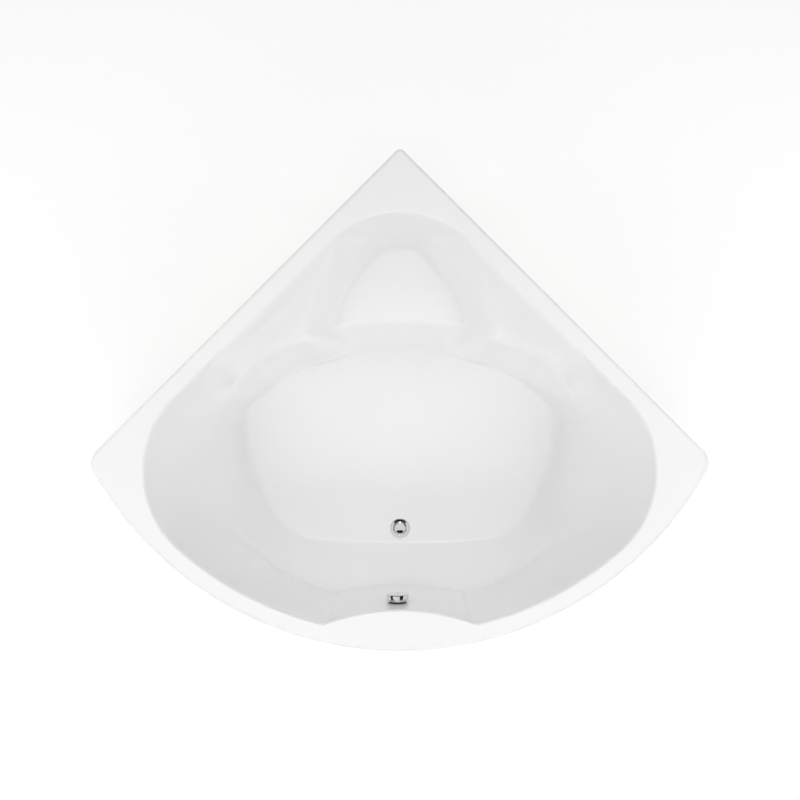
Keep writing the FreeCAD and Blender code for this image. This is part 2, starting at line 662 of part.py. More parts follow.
# ---------------------------------------------------------------- base board and rim timbers
board = box(-400, 400, -420, 95, BOARD_Z0, BOARD_Z1)
for sx in (1, -1):
    corner = [FreeCAD.Vector(sx * x, y, BOARD_Z0 - 1) for x, y in ((330.0, 96.0), (401.0, 25.0), (401.0, 96.0), (330.0, 96.0))]
    board = board.cut(Part.Face(Part.makePolygon(corner)).extrude(FreeCAD.Vector(0, 0, BOARD_Z1 - BOARD_Z0 + 2)))
board = board.makeFillet(30, [e for e in board.Edges if abs(e.Vertexes[0].Z - e.Vertexes[-1].Z) > 1])
save("base_board", board.cut(drill))
save("board_screws", board_screws)

T0, T1 = 602.0, RIM_Z - SHELL_T


def on_wall(t, n):
    """Point on the right wall line at x = t, n inwards."""
    return (t - n * Q, WALL_SUM - t - n * Q)


plates_at = [(0.0, UP_Y_BACK, 25.0), (UP_X, BEAM_Y, 25.0), (-UP_X, BEAM_Y, 25.0)]
saddle = [box(x - h, x + h, y - h, y + h, UP_TOP, T0) for x, y, h in plates_at]
saddle += [box(sx * RUN_X - 28, sx * RUN_X + 28, UP_Y_FRONT - 9, UP_Y_FRONT + 12, UP_TOP, T0) for sx in (-1, 1)]
screw_at = []
for x, y, h in plates_at:
    screw_at += [(x - 19, y), (x + 19, y)]
for sx in (-1, 1):
    screw_at += [(sx * RUN_X - 20, UP_Y_FRONT - 1.5), (sx * RUN_X + 20, UP_Y_FRONT - 1.5)]
bracket_t = (300.0, 700.0)
for t in bracket_t:
    for dt in (-14.0, 14.0):
        x, y = on_wall(t + dt, 26.0)
        screw_at += [(x, y), (-x, y)]
timber_screws = [rod(1.75, (x, y, UP_TOP), (x, y, 611)).fuse(turned([(0, 0), (4.0, 0), (3.6, -1.8), (2.2, -2.8), (0, -2.8)], (x, y, UP_TOP))) for x, y in screw_at]
screws = Part.makeCompound(timber_screws)
save("timber_screws", timber_screws)
save("saddle_plates", [s.cut(screws) for s in saddle])

batten = plate([on_wall(150, 10), on_wall(905, 10), on_wall(905, 38), on_wall(150, 38)], T0, T1).cut(screws)
save("wall_battens", [batten, mirror(batten)])
ring = Part.makeCylinder(1136.0, T1 - T0, V(0, Y_FRONT_C, T0)).cut(Part.makeCylinder(1108.0, T1 - T0, V(0, Y_FRONT_C, T0)))
a = math.radians(54)
wedge = plate([(0, Y_FRONT_C), (1400 * math.sin(a), Y_FRONT_C - 1400 * math.cos(a)), (0, -1500), (-1400 * math.sin(a), Y_FRONT_C - 1400 * math.cos(a))], T0, T1)
front = ring.common(wedge)
save("front_batten", front.cut(screws))
back_block = plate([(-110, 655), (110, 655), (110, 695), (28, 778), (-28, 778), (-110, 695)], T0, T1).cut(screws)
save("back_corner_block", back_block)
side = plate([(862, -116), (914, -116), (974, -176), (984, -215), (930, -300), (862, -300)], T0, T1).cut(screws)
save("side_blocks", [side, mirror(side)])
save("deck_block", plate([(-150, -762), (150, -762), (150, -722), (-150, -722)], T0, T1))

# wall brackets: stepped steel strip, screwed up into the battens and bolted to the wall
WB_Z, WB_HOLE, WB_DU = 535.0, 3.25, 18.0
wall_brackets = []
for t in bracket_t:
    def strip(n0, n1, z0, z1):
        return plate([on_wall(t - 30 * Q, n0), on_wall(t + 30 * Q, n0), on_wall(t + 30 * Q, n1), on_wall(t - 30 * Q, n1)], z0, z1)
    s = strip(0, 3, 500, 575).fuse(strip(3, 13, 572, 575)).fuse(strip(10, 13, 575, 599)).fuse(strip(10, 38, 599, 602))
    for k in (-1, 1):
        p, q = on_wall(t + k * WB_DU * Q, -5), on_wall(t + k * WB_DU * Q, 9)
        s = s.cut(rod(WB_HOLE, (p[0], p[1], WB_Z), (q[0], q[1], WB_Z)))
    s = s.removeSplitter().cut(screws)
    wall_brackets += [s, mirror(s)]
save("wall_brackets", wall_brackets)

# ---------------------------------------------------------------- adjustable legs
leg_nuts = []
for name, (x, y, z) in legs.items():
    top = z + (46 if z == RUN_Z else 44)
    save("leg_rod_" + name, rod(M12, (x, y, 6), (x, y, top)))
    foot = turned([(0, 0), (23, 0), (25, 2), (25, 8), (22, 10.5), (13, 12), (12, 26), (6, 26), (6, 6), (0, 6)], (x, y, 0))
    save("leg_foot_" + name, foot)
    hole = rod(LEG_HOLE, (x, y, z - 40), (x, y, z + 40))
    leg_nuts.append(hexagon(19, (x, y, z + 12.5), (0, 0, 1), 10).cut(hole))
    leg_nuts.append(hexagon(19, (x, y, z - 12.5), (0, 0, -1), 10).cut(hole))
save("leg_nuts", leg_nuts)

# ---------------------------------------------------------------- front panel
P_IN, P_T, P_Z0, P_Z1 = 3.0, 4.0, 12.0, 577.0


def panel_ring(d0, d1, z0, z1):
    s = Part.Face(outline_wire(d0, z0)).extrude(V(0, 0, z1 - z0)).cut(Part.Face(outline_wire(d1, z0)).extrude(V(0, 0, z1 - z0)))
    return s


panel = panel_ring(P_IN, P_IN + P_T, P_Z0, P_Z1).common(box(-1200, 1200, -1200, -168, 0, 700))
save("panel_sheet", panel)
ra = math.radians(50)
sector = plate([(0, Y_FRONT_C), (1500 * math.sin(ra), Y_FRONT_C - 1500 * math.cos(ra)), (0, -1800), (-1500 * math.sin(ra), Y_FRONT_C - 1500 * math.cos(ra))], 0, 700)
save("panel_ribs", [panel_ring(P_IN + P_T, P_IN + P_T + 4.0, z0, z0 + 40).common(sector) for z0 in (30, 520)])
inside = Part.makeCylinder(R_FRONT - P_IN - P_T, 100, V(0, Y_FRONT_C, 250))
tongue = box(343, 346, -790, -722, 280, 320).common(inside)
tongue = tongue.fuse(box(346, 372, -790, -722, 280, 320).common(inside.cut(Part.makeCylinder(R_FRONT - P_IN - P_T - 3.0, 100, V(0, Y_FRONT_C, 250))))).removeSplitter()
save("panel_tongues", [tongue, mirror(tongue)])
clip = box(340, 342, -750, -714, 286, 314).fuse(box(340, 349, -716, -714, 286, 314)).fuse(box(347, 349, -748, -714, 286, 314)).removeSplitter()
save("panel_clips", [clip, mirror(clip)])

# ---------------------------------------------------------------- waste
D = (0.0, DRAIN_Y, 0.0)
NECK_R = 25.4
flange = turned([(23.0, 175.4), (23.0, 171.0), (19.6, 171.0), (19.6, 168.0), (23.0, 168.0), (23.0, 158.0), (NECK_R, 158.0), (NECK_R, 175.0), (36.0, 175.0),
                 (36.0, 176.0), (35.2, 177.2), (33.6, 177.5), (31.0, 176.6), (27.0, 175.9)], D)
hub = turned([(4.4, 160.0), (7.5, 160.0), (7.5, 168.0), (4.4, 168.0)], D)
arms = [box(6.5, 24.0, DRAIN_Y - 1.2, DRAIN_Y + 1.2, 161.0, 168.0)]
for k in (1, 2):
    b = arms[0].copy()
    b.rotate(V(*D), V(0, 0, 1), 120 * k)
    arms.append(b)
for b in arms:
    flange = flange.fuse(b)
flange = flange.fuse(hub).removeSplitter()
save("drain_flange", flange)
save("drain_seal", turned([(26.2, 169.0), (26.2, 166.0), (39.0, 166.0), (39.0, 169.0)], D))
save("plug_cap", turned([(0, 173.4), (20.4, 173.4), (20.4, 174.4), (22.4, 174.6), (22.4, 176.2), (21.6, 177.0), (16.0, 178.0), (8.0, 178.6), (0, 178.8)], D))
save("plug_seal", turned([(15.5, 171.3), (21.6, 171.3), (22.2, 172.2), (21.6, 173.4), (15.5, 173.4)], D))
stem = turned([(0, 137.45), (1.2, 137.45), (4.0, 143.6), (4.0, 173.4), (0, 173.4)], D)
save("plug_stem", stem)

body = turned([(NECK_R, 166.0), (40.0, 166.0), (40.0, 161.0), (31.0, 159.0), (30.0, 157.0), (30.0, 111.0), (27.0, 108.0), (22.0, 108.0), (22.0, 90.0),
               (18.0, 90.0), (18.0, 111.0), (27.0, 111.5), (27.0, 157.5), (NECK_R, 158.0)], D)
PORT_Z, CABLE_Z = 140.0, 118.0
HOSE_R, HOSE_BORE = 16.0, 12.8
HOSE_X, HOSE_Y = OVER_X, -712.0
port = rod(HOSE_BORE, (HOSE_X, DRAIN_Y - 22, PORT_Z), (HOSE_X, -532, PORT_Z))
CAB_X, CAB_Y = -32.0, -719.5
gx, gy = 0.0 - CAB_X, DRAIN_Y - CAB_Y
gl = math.hypot(gx, gy)
gx, gy = gx / gl, gy / gl                      # horizontal direction of the cable, towards the drain


def along(s, z, side=0.0):
    """Point at s beyond the drain's axis on the cable's line."""
    return (gx * s - gy * side, DRAIN_Y + gy * s + gx * side, z)


boss = rod(5.0, along(-42, CABLE_Z), along(-24, CABLE_Z))
core = turned([(0, 111.4), (27.0, 111.5), (27.0, 157.5), (0, 157.6)], D)
body = body.fuse(port.cut(core)).fuse(boss.cut(core))
body = body.cut(rod(10.4, (HOSE_X, DRAIN_Y - 10, PORT_Z), (HOSE_X, -540, PORT_Z))).cut(rod(1.6, along(-50, CABLE_Z), along(-10, CABLE_Z)))
body = body.cut(rod(3.2, along(-50, CABLE_Z), along(-34, CABLE_Z)))
PIV_S, PIV_Z = 16.0, 140.0
pin_hole = rod(1.5, along(PIV_S, PIV_Z, -40), along(PIV_S, PIV_Z, 40))
cheeks = []
for sgn in (-1, 1):
    a0, a1 = sgn * 7.0, sgn * 24.0
    c = [along(PIV_S - 5, 136, a0), along(PIV_S + 5, 136, a0), along(PIV_S + 5, 136, a1), along(PIV_S - 5, 136, a1)]
    cheeks.append(Part.Face(Part.makePolygon([V(*k) for k in c + c[:1]])).extrude(V(0, 0, 8)))
ring27 = turned([(0, 130), (28.0, 130), (28.0, 150), (0, 150)], D)
for c in cheeks:
    body = body.fuse(c.common(ring27))
body = body.cut(pin_hole).removeSplitter()
save("waste_body", body)
save("crank_pin", rod(1.5, along(PIV_S, PIV_Z, -20), along(PIV_S, PIV_Z, 20)))

# bell crank: level arm under the plug's stem, hanging arm pulled by the cable
th0, th1 = math.radians(18.75), math.radians(13.3)


def crank_point(dx, dz, ang0):
    c, s = math.cos(ang0), math.sin(ang0)
    return (PIV_S + dx * c + dz * s, PIV_Z - dx * s + dz * c)


def crank_bar(p, q, w, t):
    (sa, za), (sb, zb) = p, q
    a, b = V(*along(sa, za)), V(*along(sb, zb))
    d = (b - a).normalize()
    m = V(-gy, gx, 0)
    n = d.cross(m)
    c = [a + m * (i * t) + n * (j * w) for i, j in ((1, 1), (1, -1), (-1, -1), (-1, 1))]
    return Part.Face(Part.makePolygon(c + c[:1])).extrude(b - a)


# at rest the level arm points down by half its swing
up_end = crank_point(-18.5, 0.0, -th0)
low_end = crank_point(0.0, -24.0, -th1)
hub_c = rod(4.5, along(PIV_S, PIV_Z, -6.2), along(PIV_S, PIV_Z, 6.2))
crank = crank_bar((PIV_S, PIV_Z), up_end, 2.0, 3.0).fuse(crank_bar((PIV_S, PIV_Z), low_end, 2.0, 2.0)).fuse(hub_c)
wire_eye = crank_point(0.0, -22.0, -th1)
crank = crank.fuse(rod(3.4, along(wire_eye[0], wire_eye[1], -2.0), along(wire_eye[0], wire_eye[1], 2.0)))
crank = crank.cut(rod(1.9, along(PIV_S, PIV_Z, -10), along(PIV_S, PIV_Z, 10))).removeSplitter()
save("bell_crank", crank)
# wire end: clevis round the hanging arm, wire back into the sheath
ez = CABLE_Z
es = wire_eye[0]
cl = []
for sgn in (-1, 1):
    c = [along(es - 11, ez - 4, sgn * 2.6), along(es + 3.4, ez - 4, sgn * 2.6), along(es + 3.4, ez - 4, sgn * 4.2), along(es - 11, ez - 4, sgn * 4.2)]
    cl.append(Part.Face(Part.makePolygon([V(*k) for k in c + c[:1]])).extrude(V(0, 0, 8)))
c = [along(es - 11, ez - 4, -4.2), along(es - 7.5, ez - 4, -4.2), along(es - 7.5, ez - 4, 4.2), along(es - 11, ez - 4, 4.2)]
end = cl[0].fuse(cl[1]).fuse(Part.Face(Part.makePolygon([V(*k) for k in c + c[:1]])).extrude(V(0, 0, 8)))
end = end.fuse(rod(1.0, along(-60, ez), along(es - 10, ez))).removeSplitter()
save("cable_end_low", end)

save("trap_nut", turned([(22.0, 92.0), (28.0, 92.0), (28.0, 106.0), (26.5, 107.5), (22.0, 107.5)], D))
cup = turned([(0, 22), (28, 22), (32, 26), (32, 85), (29, 90), (15.5, 90), (15.5, 46), (17.5, 46), (17.5, 87), (28, 87), (29.5, 84), (29.5, 27), (27, 24.5), (0, 24.5)], D)
OUT_Z = 64.0


def outlet(s):
    """Point at s from the drain's axis on the outlet, which leaves square to the right-hand wall."""
    return (Q * s, DRAIN_Y + Q * s, OUT_Z)


cup = cup.fuse(rod(19.6, outlet(27), outlet(92)).cut(turned([(0, 24), (29.5, 24), (29.5, 88), (0, 88)], D)))
cup = cup.cut(rod(17.5, outlet(22), outlet(100)))
save("trap_cup", cup.removeSplitter())
save("outlet_nut", turned([(19.6, 80), (26.0, 80), (27.0, 81.5), (27.0, 100), (25.5, 102), (19.6, 102)], outlet(0), (Q, Q, 0)))
save("outlet_pipe", turned([(18.2, 92), (19.6, 92), (19.6, 103), (20.0, 103), (20.0, 190), (18.2, 190)], outlet(0), (Q, Q, 0)))

# ---------------------------------------------------------------- overflow
O = (OVER_X, 0.0, OVER_Z)
Y_AX = (0, 1, 0)
shell_near = shell.common(box(OVER_X - 45, OVER_X + 45, -700, -665, OVER_Z - 45, OVER_Z + 45))
ros = turned([(4.4, -675), (30, -675), (30, -672.5), (28.5, -671), (14, -671), (12, -667), (4.4, -667)], O, Y_AX)
neck = turned([(20.5, -704), (24.4, -704), (24.4, -675), (20.5, -675)], O, Y_AX)
ros = ros.fuse(neck)
for k in range(6):
    w = rod(3.6, (OVER_X + 15.8 * math.cos(math.radians(60 * k + 30)), -680, OVER_Z + 15.8 * math.sin(math.radians(60 * k + 30))),
            (OVER_X + 15.8 * math.cos(math.radians(60 * k + 30)), -660, OVER_Z + 15.8 * math.sin(math.radians(60 * k + 30))))
    ros = ros.cut(w)
save("overflow_rosette", ros.removeSplitter())
seal = turned([(24.6, -682), (30, -682), (30, -675), (24.6, -675)], O, Y_AX).cut(shell_near)
seal_in = max(seal.Solids, key=lambda k: k.BoundBox.YMax)
save("overflow_seal_front", seal_in)
seal = turned([(25.6, -692), (36, -692), (36, -682), (25.6, -682)], O, Y_AX).cut(shell_near)
save("overflow_seal_back", min(seal.Solids, key=lambda k: k.BoundBox.YMin))

hx0, hx1, hz0, hz1, hy0, hy1 = OVER_X - 32, OVER_X + 30, 470.0, 546.0, -732.0, -692.0
house = box(hx0, hx1, hy0, -697, hz0, hz1).cut(box(hx0 + 2.5, hx1 - 2.5, hy0 + 2.5, -690, hz0 + 2.5, hz1 - 2.5))
mouth = turned([(24.4, -704), (27.2, -704), (27.2, -696), (38, -696), (38, -692), (24.4, -692)], O, Y_AX)
front_wall = box(hx0, hx1, -699.5, -697, hz0, hz1).cut(rod(24.4, (OVER_X, -720, OVER_Z), (OVER_X, -680, OVER_Z)))
house = house.fuse(front_wall).fuse(mouth)
house = house.cut(rod(24.4, (OVER_X, -704, OVER_Z), (OVER_X, -680, OVER_Z)))
house = house.fuse(rod(HOSE_BORE, (HOSE_X, HOSE_Y, 446), (HOSE_X, HOSE_Y, hz0 + 2.5))).cut(rod(10.4, (HOSE_X, HOSE_Y, 440), (HOSE_X, HOSE_Y, hz0 + 5)))
house = house.fuse(rod(5.0, (CAB_X, CAB_Y, 452), (CAB_X, CAB_Y, hz0 + 2.5)).common(box(-100, 100, -800, -600, 440, 475)))
house = house.cut(rod(1.6, (CAB_X, CAB_Y, 440), (CAB_X, CAB_Y, 480))).cut(rod(3.2, (CAB_X, CAB_Y, 440), (CAB_X, CAB_Y, 464)))
save("overflow_body", house.removeSplitter())

# turning knob
knob = turned([(4.0, -664), (9, -664), (9, -655), (34.8, -655), (34.8, -672), (36.6, -672), (37.5, -671), (37.5, -653), (36.2, -651.4), (34, -651), (4.0, -651)], O, Y_AX)
save("knob_cap", knob)
save("knob_screw", rod(2.5, (OVER_X, -660, OVER_Z), (OVER_X, -652.4, OVER_Z)).fuse(rod(3.9, (OVER_X, -652.4, OVER_Z), (OVER_X, -650.4, OVER_Z))))
CR = 10.0
a0 = math.radians(-45)
px, pz = OVER_X + CR * math.cos(a0), OVER_Z + CR * math.sin(a0)
spin = rod(4.0, (OVER_X, -715, OVER_Z), (OVER_X, -652.4, OVER_Z)).cut(rod(2.5, (OVER_X, -660, OVER_Z), (OVER_X, -650, OVER_Z)))
spin = spin.fuse(rod(13.5, (OVER_X, -715, OVER_Z), (OVER_X, -711.5, OVER_Z))).fuse(rod(2.5, (px, -723, pz), (px, -715, pz))).removeSplitter()
save("knob_spindle", spin)
# yoke slider with its cable end
sy0, sy1 = -722.5, -716.5
yoke = box(OVER_X - 17, OVER_X + 17, sy0, sy1, pz - 9, pz + 9).cut(box(OVER_X + 7.07 - 3.6, OVER_X + CR + 3.6, sy0 - 1, sy1 + 1, pz - 3.3, pz + 3.3))
yoke = yoke.fuse(box(CAB_X - 3.0, OVER_X - 16, sy0, sy1, pz - 3, pz + 3))
yoke = yoke.fuse(rod(1.0, (CAB_X, CAB_Y, 430), (CAB_X, CAB_Y, pz))).removeSplitter()
save("yoke_slider", yoke)

# ---------------------------------------------------------------- hose and cable, straight runs with tangent arcs


def bent_pipe(r1, r0, start, corner, finish, rad):
    """Pipe from start through a rounded corner to finish."""
    a, b, c = V(*start), V(*corner), V(*finish)
    d1, d2 = (a - b).normalize(), (c - b).normalize()
    half = math.acos(max(-1.0, min(1.0, d1.dot(d2)))) / 2.0
    k = rad / math.tan(half)
    p, q = b + d1 * k, b + d2 * k
    mid = (d1 + d2).normalize()
    centre = b + mid * (rad / math.sin(half))
    m = centre - mid * rad
    path = Part.Wire([Part.makeLine(a, p), Part.Arc(p, m, q).toShape(), Part.makeLine(q, c)])

    def sweep(r):
        ring = Part.Wire(Part.makeCircle(r, a, d1))
        return path.makePipeShell([ring], True, True)
    return sweep(r1).cut(sweep(r0))


hose = bent_pipe(HOSE_R, HOSE_BORE, (HOSE_X, HOSE_Y, 467), (HOSE_X, HOSE_Y, PORT_Z), (HOSE_X, -506, PORT_Z), 60.0)
hose = hose.cut(turned([(0, 90), (30.3, 90), (30.3, 170), (0, 170)], D))
save("overflow_hose", hose)
save("hose_clips", [tube(18.0, HOSE_R, (HOSE_X, HOSE_Y, 450), (HOSE_X, HOSE_Y, 460)), tube(18.0, HOSE_R, (HOSE_X, -526, PORT_Z), (HOSE_X, -516, PORT_Z))])
cs = along(-34, CABLE_Z)
sheath = bent_pipe(3.2, 1.6, (CAB_X, CAB_Y, 464), (CAB_X, CAB_Y, CABLE_Z), cs, 70.0)
save("cable_sheath", sheath)
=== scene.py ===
"""Looks of the corner bathtub: fine meshes, finishes, light and camera round the fixed frame."""
import math

import bmesh
import bpy
import numpy as np
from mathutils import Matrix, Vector
from mathutils.geometry import delaunay_2d_cdt


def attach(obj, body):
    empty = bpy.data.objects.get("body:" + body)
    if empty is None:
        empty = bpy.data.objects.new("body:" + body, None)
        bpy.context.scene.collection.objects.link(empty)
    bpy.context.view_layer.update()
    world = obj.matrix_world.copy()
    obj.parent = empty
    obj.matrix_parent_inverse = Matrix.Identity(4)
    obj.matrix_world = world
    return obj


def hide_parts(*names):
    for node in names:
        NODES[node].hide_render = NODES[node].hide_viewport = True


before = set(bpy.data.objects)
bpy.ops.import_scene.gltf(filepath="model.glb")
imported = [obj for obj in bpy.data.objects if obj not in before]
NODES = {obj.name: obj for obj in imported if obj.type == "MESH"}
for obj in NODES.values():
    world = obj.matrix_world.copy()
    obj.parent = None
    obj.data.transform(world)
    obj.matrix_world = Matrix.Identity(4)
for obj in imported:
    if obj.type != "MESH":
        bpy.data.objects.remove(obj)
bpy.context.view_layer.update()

RNG = np.random.default_rng(7)
MM = 0.001

# ---------------------------------------------------------------- plan of the bath; x to the right, y towards the room corner, millimetres
CY = -100.0            # rays start at (0, CY)
WALL_SUM = 826.58      # outline along the walls: |x| + y
R_FRONT = 1150.0
Y_FRONT_C = 331.7
R_APEX = 20.0
R_SIDE = 60.0
RIM_W = 51.0
OPEN_SUM = WALL_SUM - RIM_W * math.sqrt(2.0)
R_OPEN = R_FRONT - RIM_W
R_ARCH = 322.0
R_LOBE = 346.0
R_BUMP = 714.0
Y_BUMP = -692.3
R_BUMP_FILLET = 40.0
FLOOR_H = 445.0
SEAT_H = 250.0
ARM_H = 95.0
RIM_Z = 620.0
FLOOR_Z = 175.0
SHELL_T = 6.0
LIP_H = 40.0
LIP_ROUND = 10.0
DRAIN_Y = -472.5
OVER_X, OVER_Z = -8.0, 512.0
RT2 = math.sqrt(2.0)


def ang(x, y):
    return np.degrees(np.arctan2(y - CY, x))


def hit_circle(a, cx, cy, r, far=True):
    c, s = np.cos(np.radians(a)), np.sin(np.radians(a))
    b = c * cx + s * (cy - CY)
    q = cx * cx + (cy - CY) ** 2 - r * r
    d = np.sqrt(np.maximum(b * b - q, 0.0))
    return b + d if far else b - d


def hit_line(a, total):
    c, s = np.cos(np.radians(a)), np.sin(np.radians(a))
    return (total - CY) / (c + s)


def tangent_fillet(total, big, r):
    t = total - r * RT2
    k = t - Y_FRONT_C
    q = big - r
    cx = (k + math.sqrt(k * k - 2.0 * (k * k - q * q))) / 2.0
    return cx, t - cx


LOBE_X, LOBE_Y = tangent_fillet(OPEN_SUM, R_OPEN, R_LOBE)
SIDE_X, SIDE_Y = tangent_fillet(WALL_SUM, R_FRONT, R_SIDE)
ARCH_Y = OPEN_SUM - R_ARCH * RT2
APEX_Y = WALL_SUM - R_APEX * RT2


def on_circle(cx, cy, r):
    d = math.hypot(cx, cy - Y_FRONT_C)
    return cx * r / d, Y_FRONT_C + (cy - Y_FRONT_C) * r / d


BUMP_C = Y_BUMP - R_BUMP
_d = Y_FRONT_C - BUMP_C
_q = R_BUMP + R_BUMP_FILLET
_p = R_OPEN - R_BUMP_FILLET
_a = (_q * _q - _p * _p + _d * _d) / (2.0 * _d)
BF_X, BF_Y = math.sqrt(_q * _q - _a * _a), BUMP_C + _a
A_BUMP1 = ang(BF_X * R_BUMP / _q, BUMP_C + _a * R_BUMP / _q)
A_BUMP2 = ang(*on_circle(BF_X, BF_Y, R_OPEN))
A_LOBE1 = ang(*on_circle(LOBE_X, LOBE_Y, R_OPEN))
A_LOBE2 = ang(LOBE_X + R_LOBE / RT2, LOBE_Y + R_LOBE / RT2)
A_ARCH = ang(R_ARCH / RT2, ARCH_Y + R_ARCH / RT2)
A_SIDE1 = ang(*on_circle(SIDE_X, SIDE_Y, R_FRONT))
A_SIDE2 = ang(SIDE_X + R_SIDE / RT2, SIDE_Y + R_SIDE / RT2)
A_APEX = ang(R_APEX / RT2, APEX_Y + R_APEX / RT2)


def r_open(a):
    return np.select(
        [a < A_BUMP1, a < A_BUMP2, a < A_LOBE1, a < A_LOBE2, a < A_ARCH],
        [hit_circle(a, 0.0, BUMP_C, R_BUMP, False), hit_circle(a, BF_X, BF_Y, R_BUMP_FILLET), hit_circle(a, 0.0, Y_FRONT_C, R_OPEN),
         hit_circle(a, LOBE_X, LOBE_Y, R_LOBE), hit_line(a, OPEN_SUM)],
        hit_circle(a, 0.0, ARCH_Y, R_ARCH))


def r_out(a):
    return np.select(
        [a < A_SIDE1, a < A_SIDE2, a < A_APEX],
        [hit_circle(a, 0.0, Y_FRONT_C, R_FRONT), hit_circle(a, SIDE_X, SIDE_Y, R_SIDE), hit_line(a, WALL_SUM)],
        hit_circle(a, 0.0, APEX_Y, R_APEX))


def out_normal(a, x, y):
    """Outward normal of the outline at its point on ray a, right half."""
    nx = np.select([a < A_SIDE1, a < A_SIDE2, a < A_APEX], [x, x - SIDE_X, np.ones_like(x)], x)
    ny = np.select([a < A_SIDE1, a < A_SIDE2, a < A_APEX], [y - Y_FRONT_C, y - SIDE_Y, np.ones_like(x)], y - APEX_Y)
    n = np.hypot(nx, ny)
    return nx / n, ny / n


class Spline:
    """Natural or clamped cubic through points."""

    def __init__(self, pts, flat_start=False, flat_end=False):
        self.x = x = np.array([p[0] for p in pts], float)
        self.y = y = np.array([p[1] for p in pts], float)
        n = len(x)
        self.h = h = np.diff(x)
        mat, rhs = np.eye(n), np.zeros(n)
        for i in range(1, n - 1):
            mat[i, i - 1:i + 2] = h[i - 1], 2 * (h[i - 1] + h[i]), h[i]
            rhs[i] = 6 * ((y[i + 1] - y[i]) / h[i] - (y[i] - y[i - 1]) / h[i - 1])
        if flat_start:
            mat[0, :2] = 2 * h[0], h[0]
            rhs[0] = 6 * (y[1] - y[0]) / h[0]
        if flat_end:
            mat[-1, -2:] = h[-1], 2 * h[-1]
            rhs[-1] = -6 * (y[-1] - y[-2]) / h[-1]
        self.m = np.linalg.solve(mat, rhs)

    def __call__(self, t):
        x, y, m = self.x, self.y, self.m
        t = np.clip(t, x[0], x[-1])
        i = np.clip(np.searchsorted(x, t, side="right") - 1, 0, len(x) - 2)
        h = self.h[i]
        u, v = (x[i + 1] - t) / h, (t - x[i]) / h
        return u * y[i] + v * y[i + 1] + ((u ** 3 - u) * m[i] + (v ** 3 - v) * m[i + 1]) * h * h / 6


class Ramp:
    """Monotone cubic through points, flat at both ends."""

    def __init__(self, pts):
        self.x = x = np.array([p[0] for p in pts], float)
        self.y = y = np.array([p[1] for p in pts], float)
        s = np.diff(y) / np.diff(x)
        self.d = d = np.zeros(len(x))
        for i in range(1, len(x) - 1):
            if s[i - 1] * s[i] > 0:
                d[i] = 2.0 * s[i - 1] * s[i] / (s[i - 1] + s[i])

    def __call__(self, t):
        x, y, d = self.x, self.y, self.d
        t = np.clip(t, x[0], x[-1])
        i = np.clip(np.searchsorted(x, t, side="left") - 1, 0, len(x) - 2)
        h = x[i + 1] - x[i]
        u = (t - x[i]) / h
        return (y[i] * (1 + 2 * u) * (1 - u) ** 2 + y[i + 1] * u * u * (3 - 2 * u)
                + h * d[i] * u * (1 - u) ** 2 + h * d[i + 1] * u * u * (u - 1))


def polar(pts):
    return [(float(ang(x, y)), math.hypot(x, y - CY)) for x, y in pts]


# floor outline (foot of every wall)
FLOOR = Spline(polar([(0.0, -523.0), (140.0, -521.0), (270.0, -514.0), (362.0, -502.0), (415.0, -472.0), (468.0, -420.0), (536.0, -310.0),
                      (574.0, -200.0), (586.0, -110.0), (579.0, -25.0), (552.0, 27.0), (490.0, 78.0), (423.0, 122.0), (330.0, 153.0),
                      (200.0, 176.0), (0.0, 186.0)]), True, True)
# slope of the wall below the rim, depth per plan millimetre, by ray angle
UPPER = Ramp([(-90, 22.0), (-81, 18.0), (-74, 12.5), (-69, 8.4), (-60.7, 8.2), (-52.7, 7.0), (-46.8, 5.6), (-40.3, 4.4), (-30, 3.3),
                (-18, 2.6), (-5, 2.4), (8, 2.6), (25, 3.0), (50, 3.2), (70, 3.2), (90, 3.3)])
# slope of the toe above the floor outline
TOE = Ramp([(-90, 0.57), (-75, 0.55), (-60.7, 0.47), (-52.7, 0.55), (-46.8, 0.70), (-40.3, 0.72), (-30, 0.85), (-18, 1.05), (-5, 1.2),
              (6, 0.9), (14, 0.3), (20, 0.0), (50, 0.0), (90, 0.0)])
ROUND = Ramp([(-90, 9.0), (-62, 9.0), (-40, 11.0), (-10, 14.0), (60, 14.0), (90, 12.0)])
MIX_WALL = Ramp([(-90, 40.0), (-76, 26.0), (-64, 12.0), (-52, 12.0), (-44, 22.0), (-34, 70.0), (-20, 120.0), (5, 120.0), (25, 60.0), (90, 40.0)])
MIX_FLOOR = Ramp([(-90, 7.0), (-58, 7.0), (-50, 10.0), (-42, 24.0), (-30, 66.0), (-15, 92.0), (-2, 92.0), (10, 70.0), (24, 60.0), (55, 52.0), (70, 30.0), (90, 26.0)])
ARM_FRONT = Spline([(0.0, 226.0), (200.0, 224.0), (308.0, 212.0), (369.0, 197.0), (430.0, 172.0), (476.0, 146.0), (530.0, 99.0), (580.0, 42.0), (640.0, -40.0), (760.0, -220.0)], True, False)
ARM_INNER = Spline([(0.0, 316.0), (200.0, 316.0), (254.0, 311.0), (361.0, 280.0), (428.0, 246.0), (490.0, 221.0), (550.0, 202.0), (640.0, 182.0)], True, False)
SEAT_FRONT = Spline([(0.0, 276.0), (80.0, 273.0), (157.0, 266.0), (224.0, 260.0), (300.0, 256.0), (400.0, 253.0), (600.0, 250.0)], True, True)


def smin(a, b, k):
    k = np.maximum(k, 1e-9)
    e = np.maximum(k - np.abs(a - b), 0.0) / k
    return np.minimum(a, b) - e * e * e * k / 6.0


def smax(a, b, k):
    return -smin(-a, -b, k)


def step(t):
    t = np.clip(t, 0.0, 1.0)
    return t * t * (3 - 2 * t)


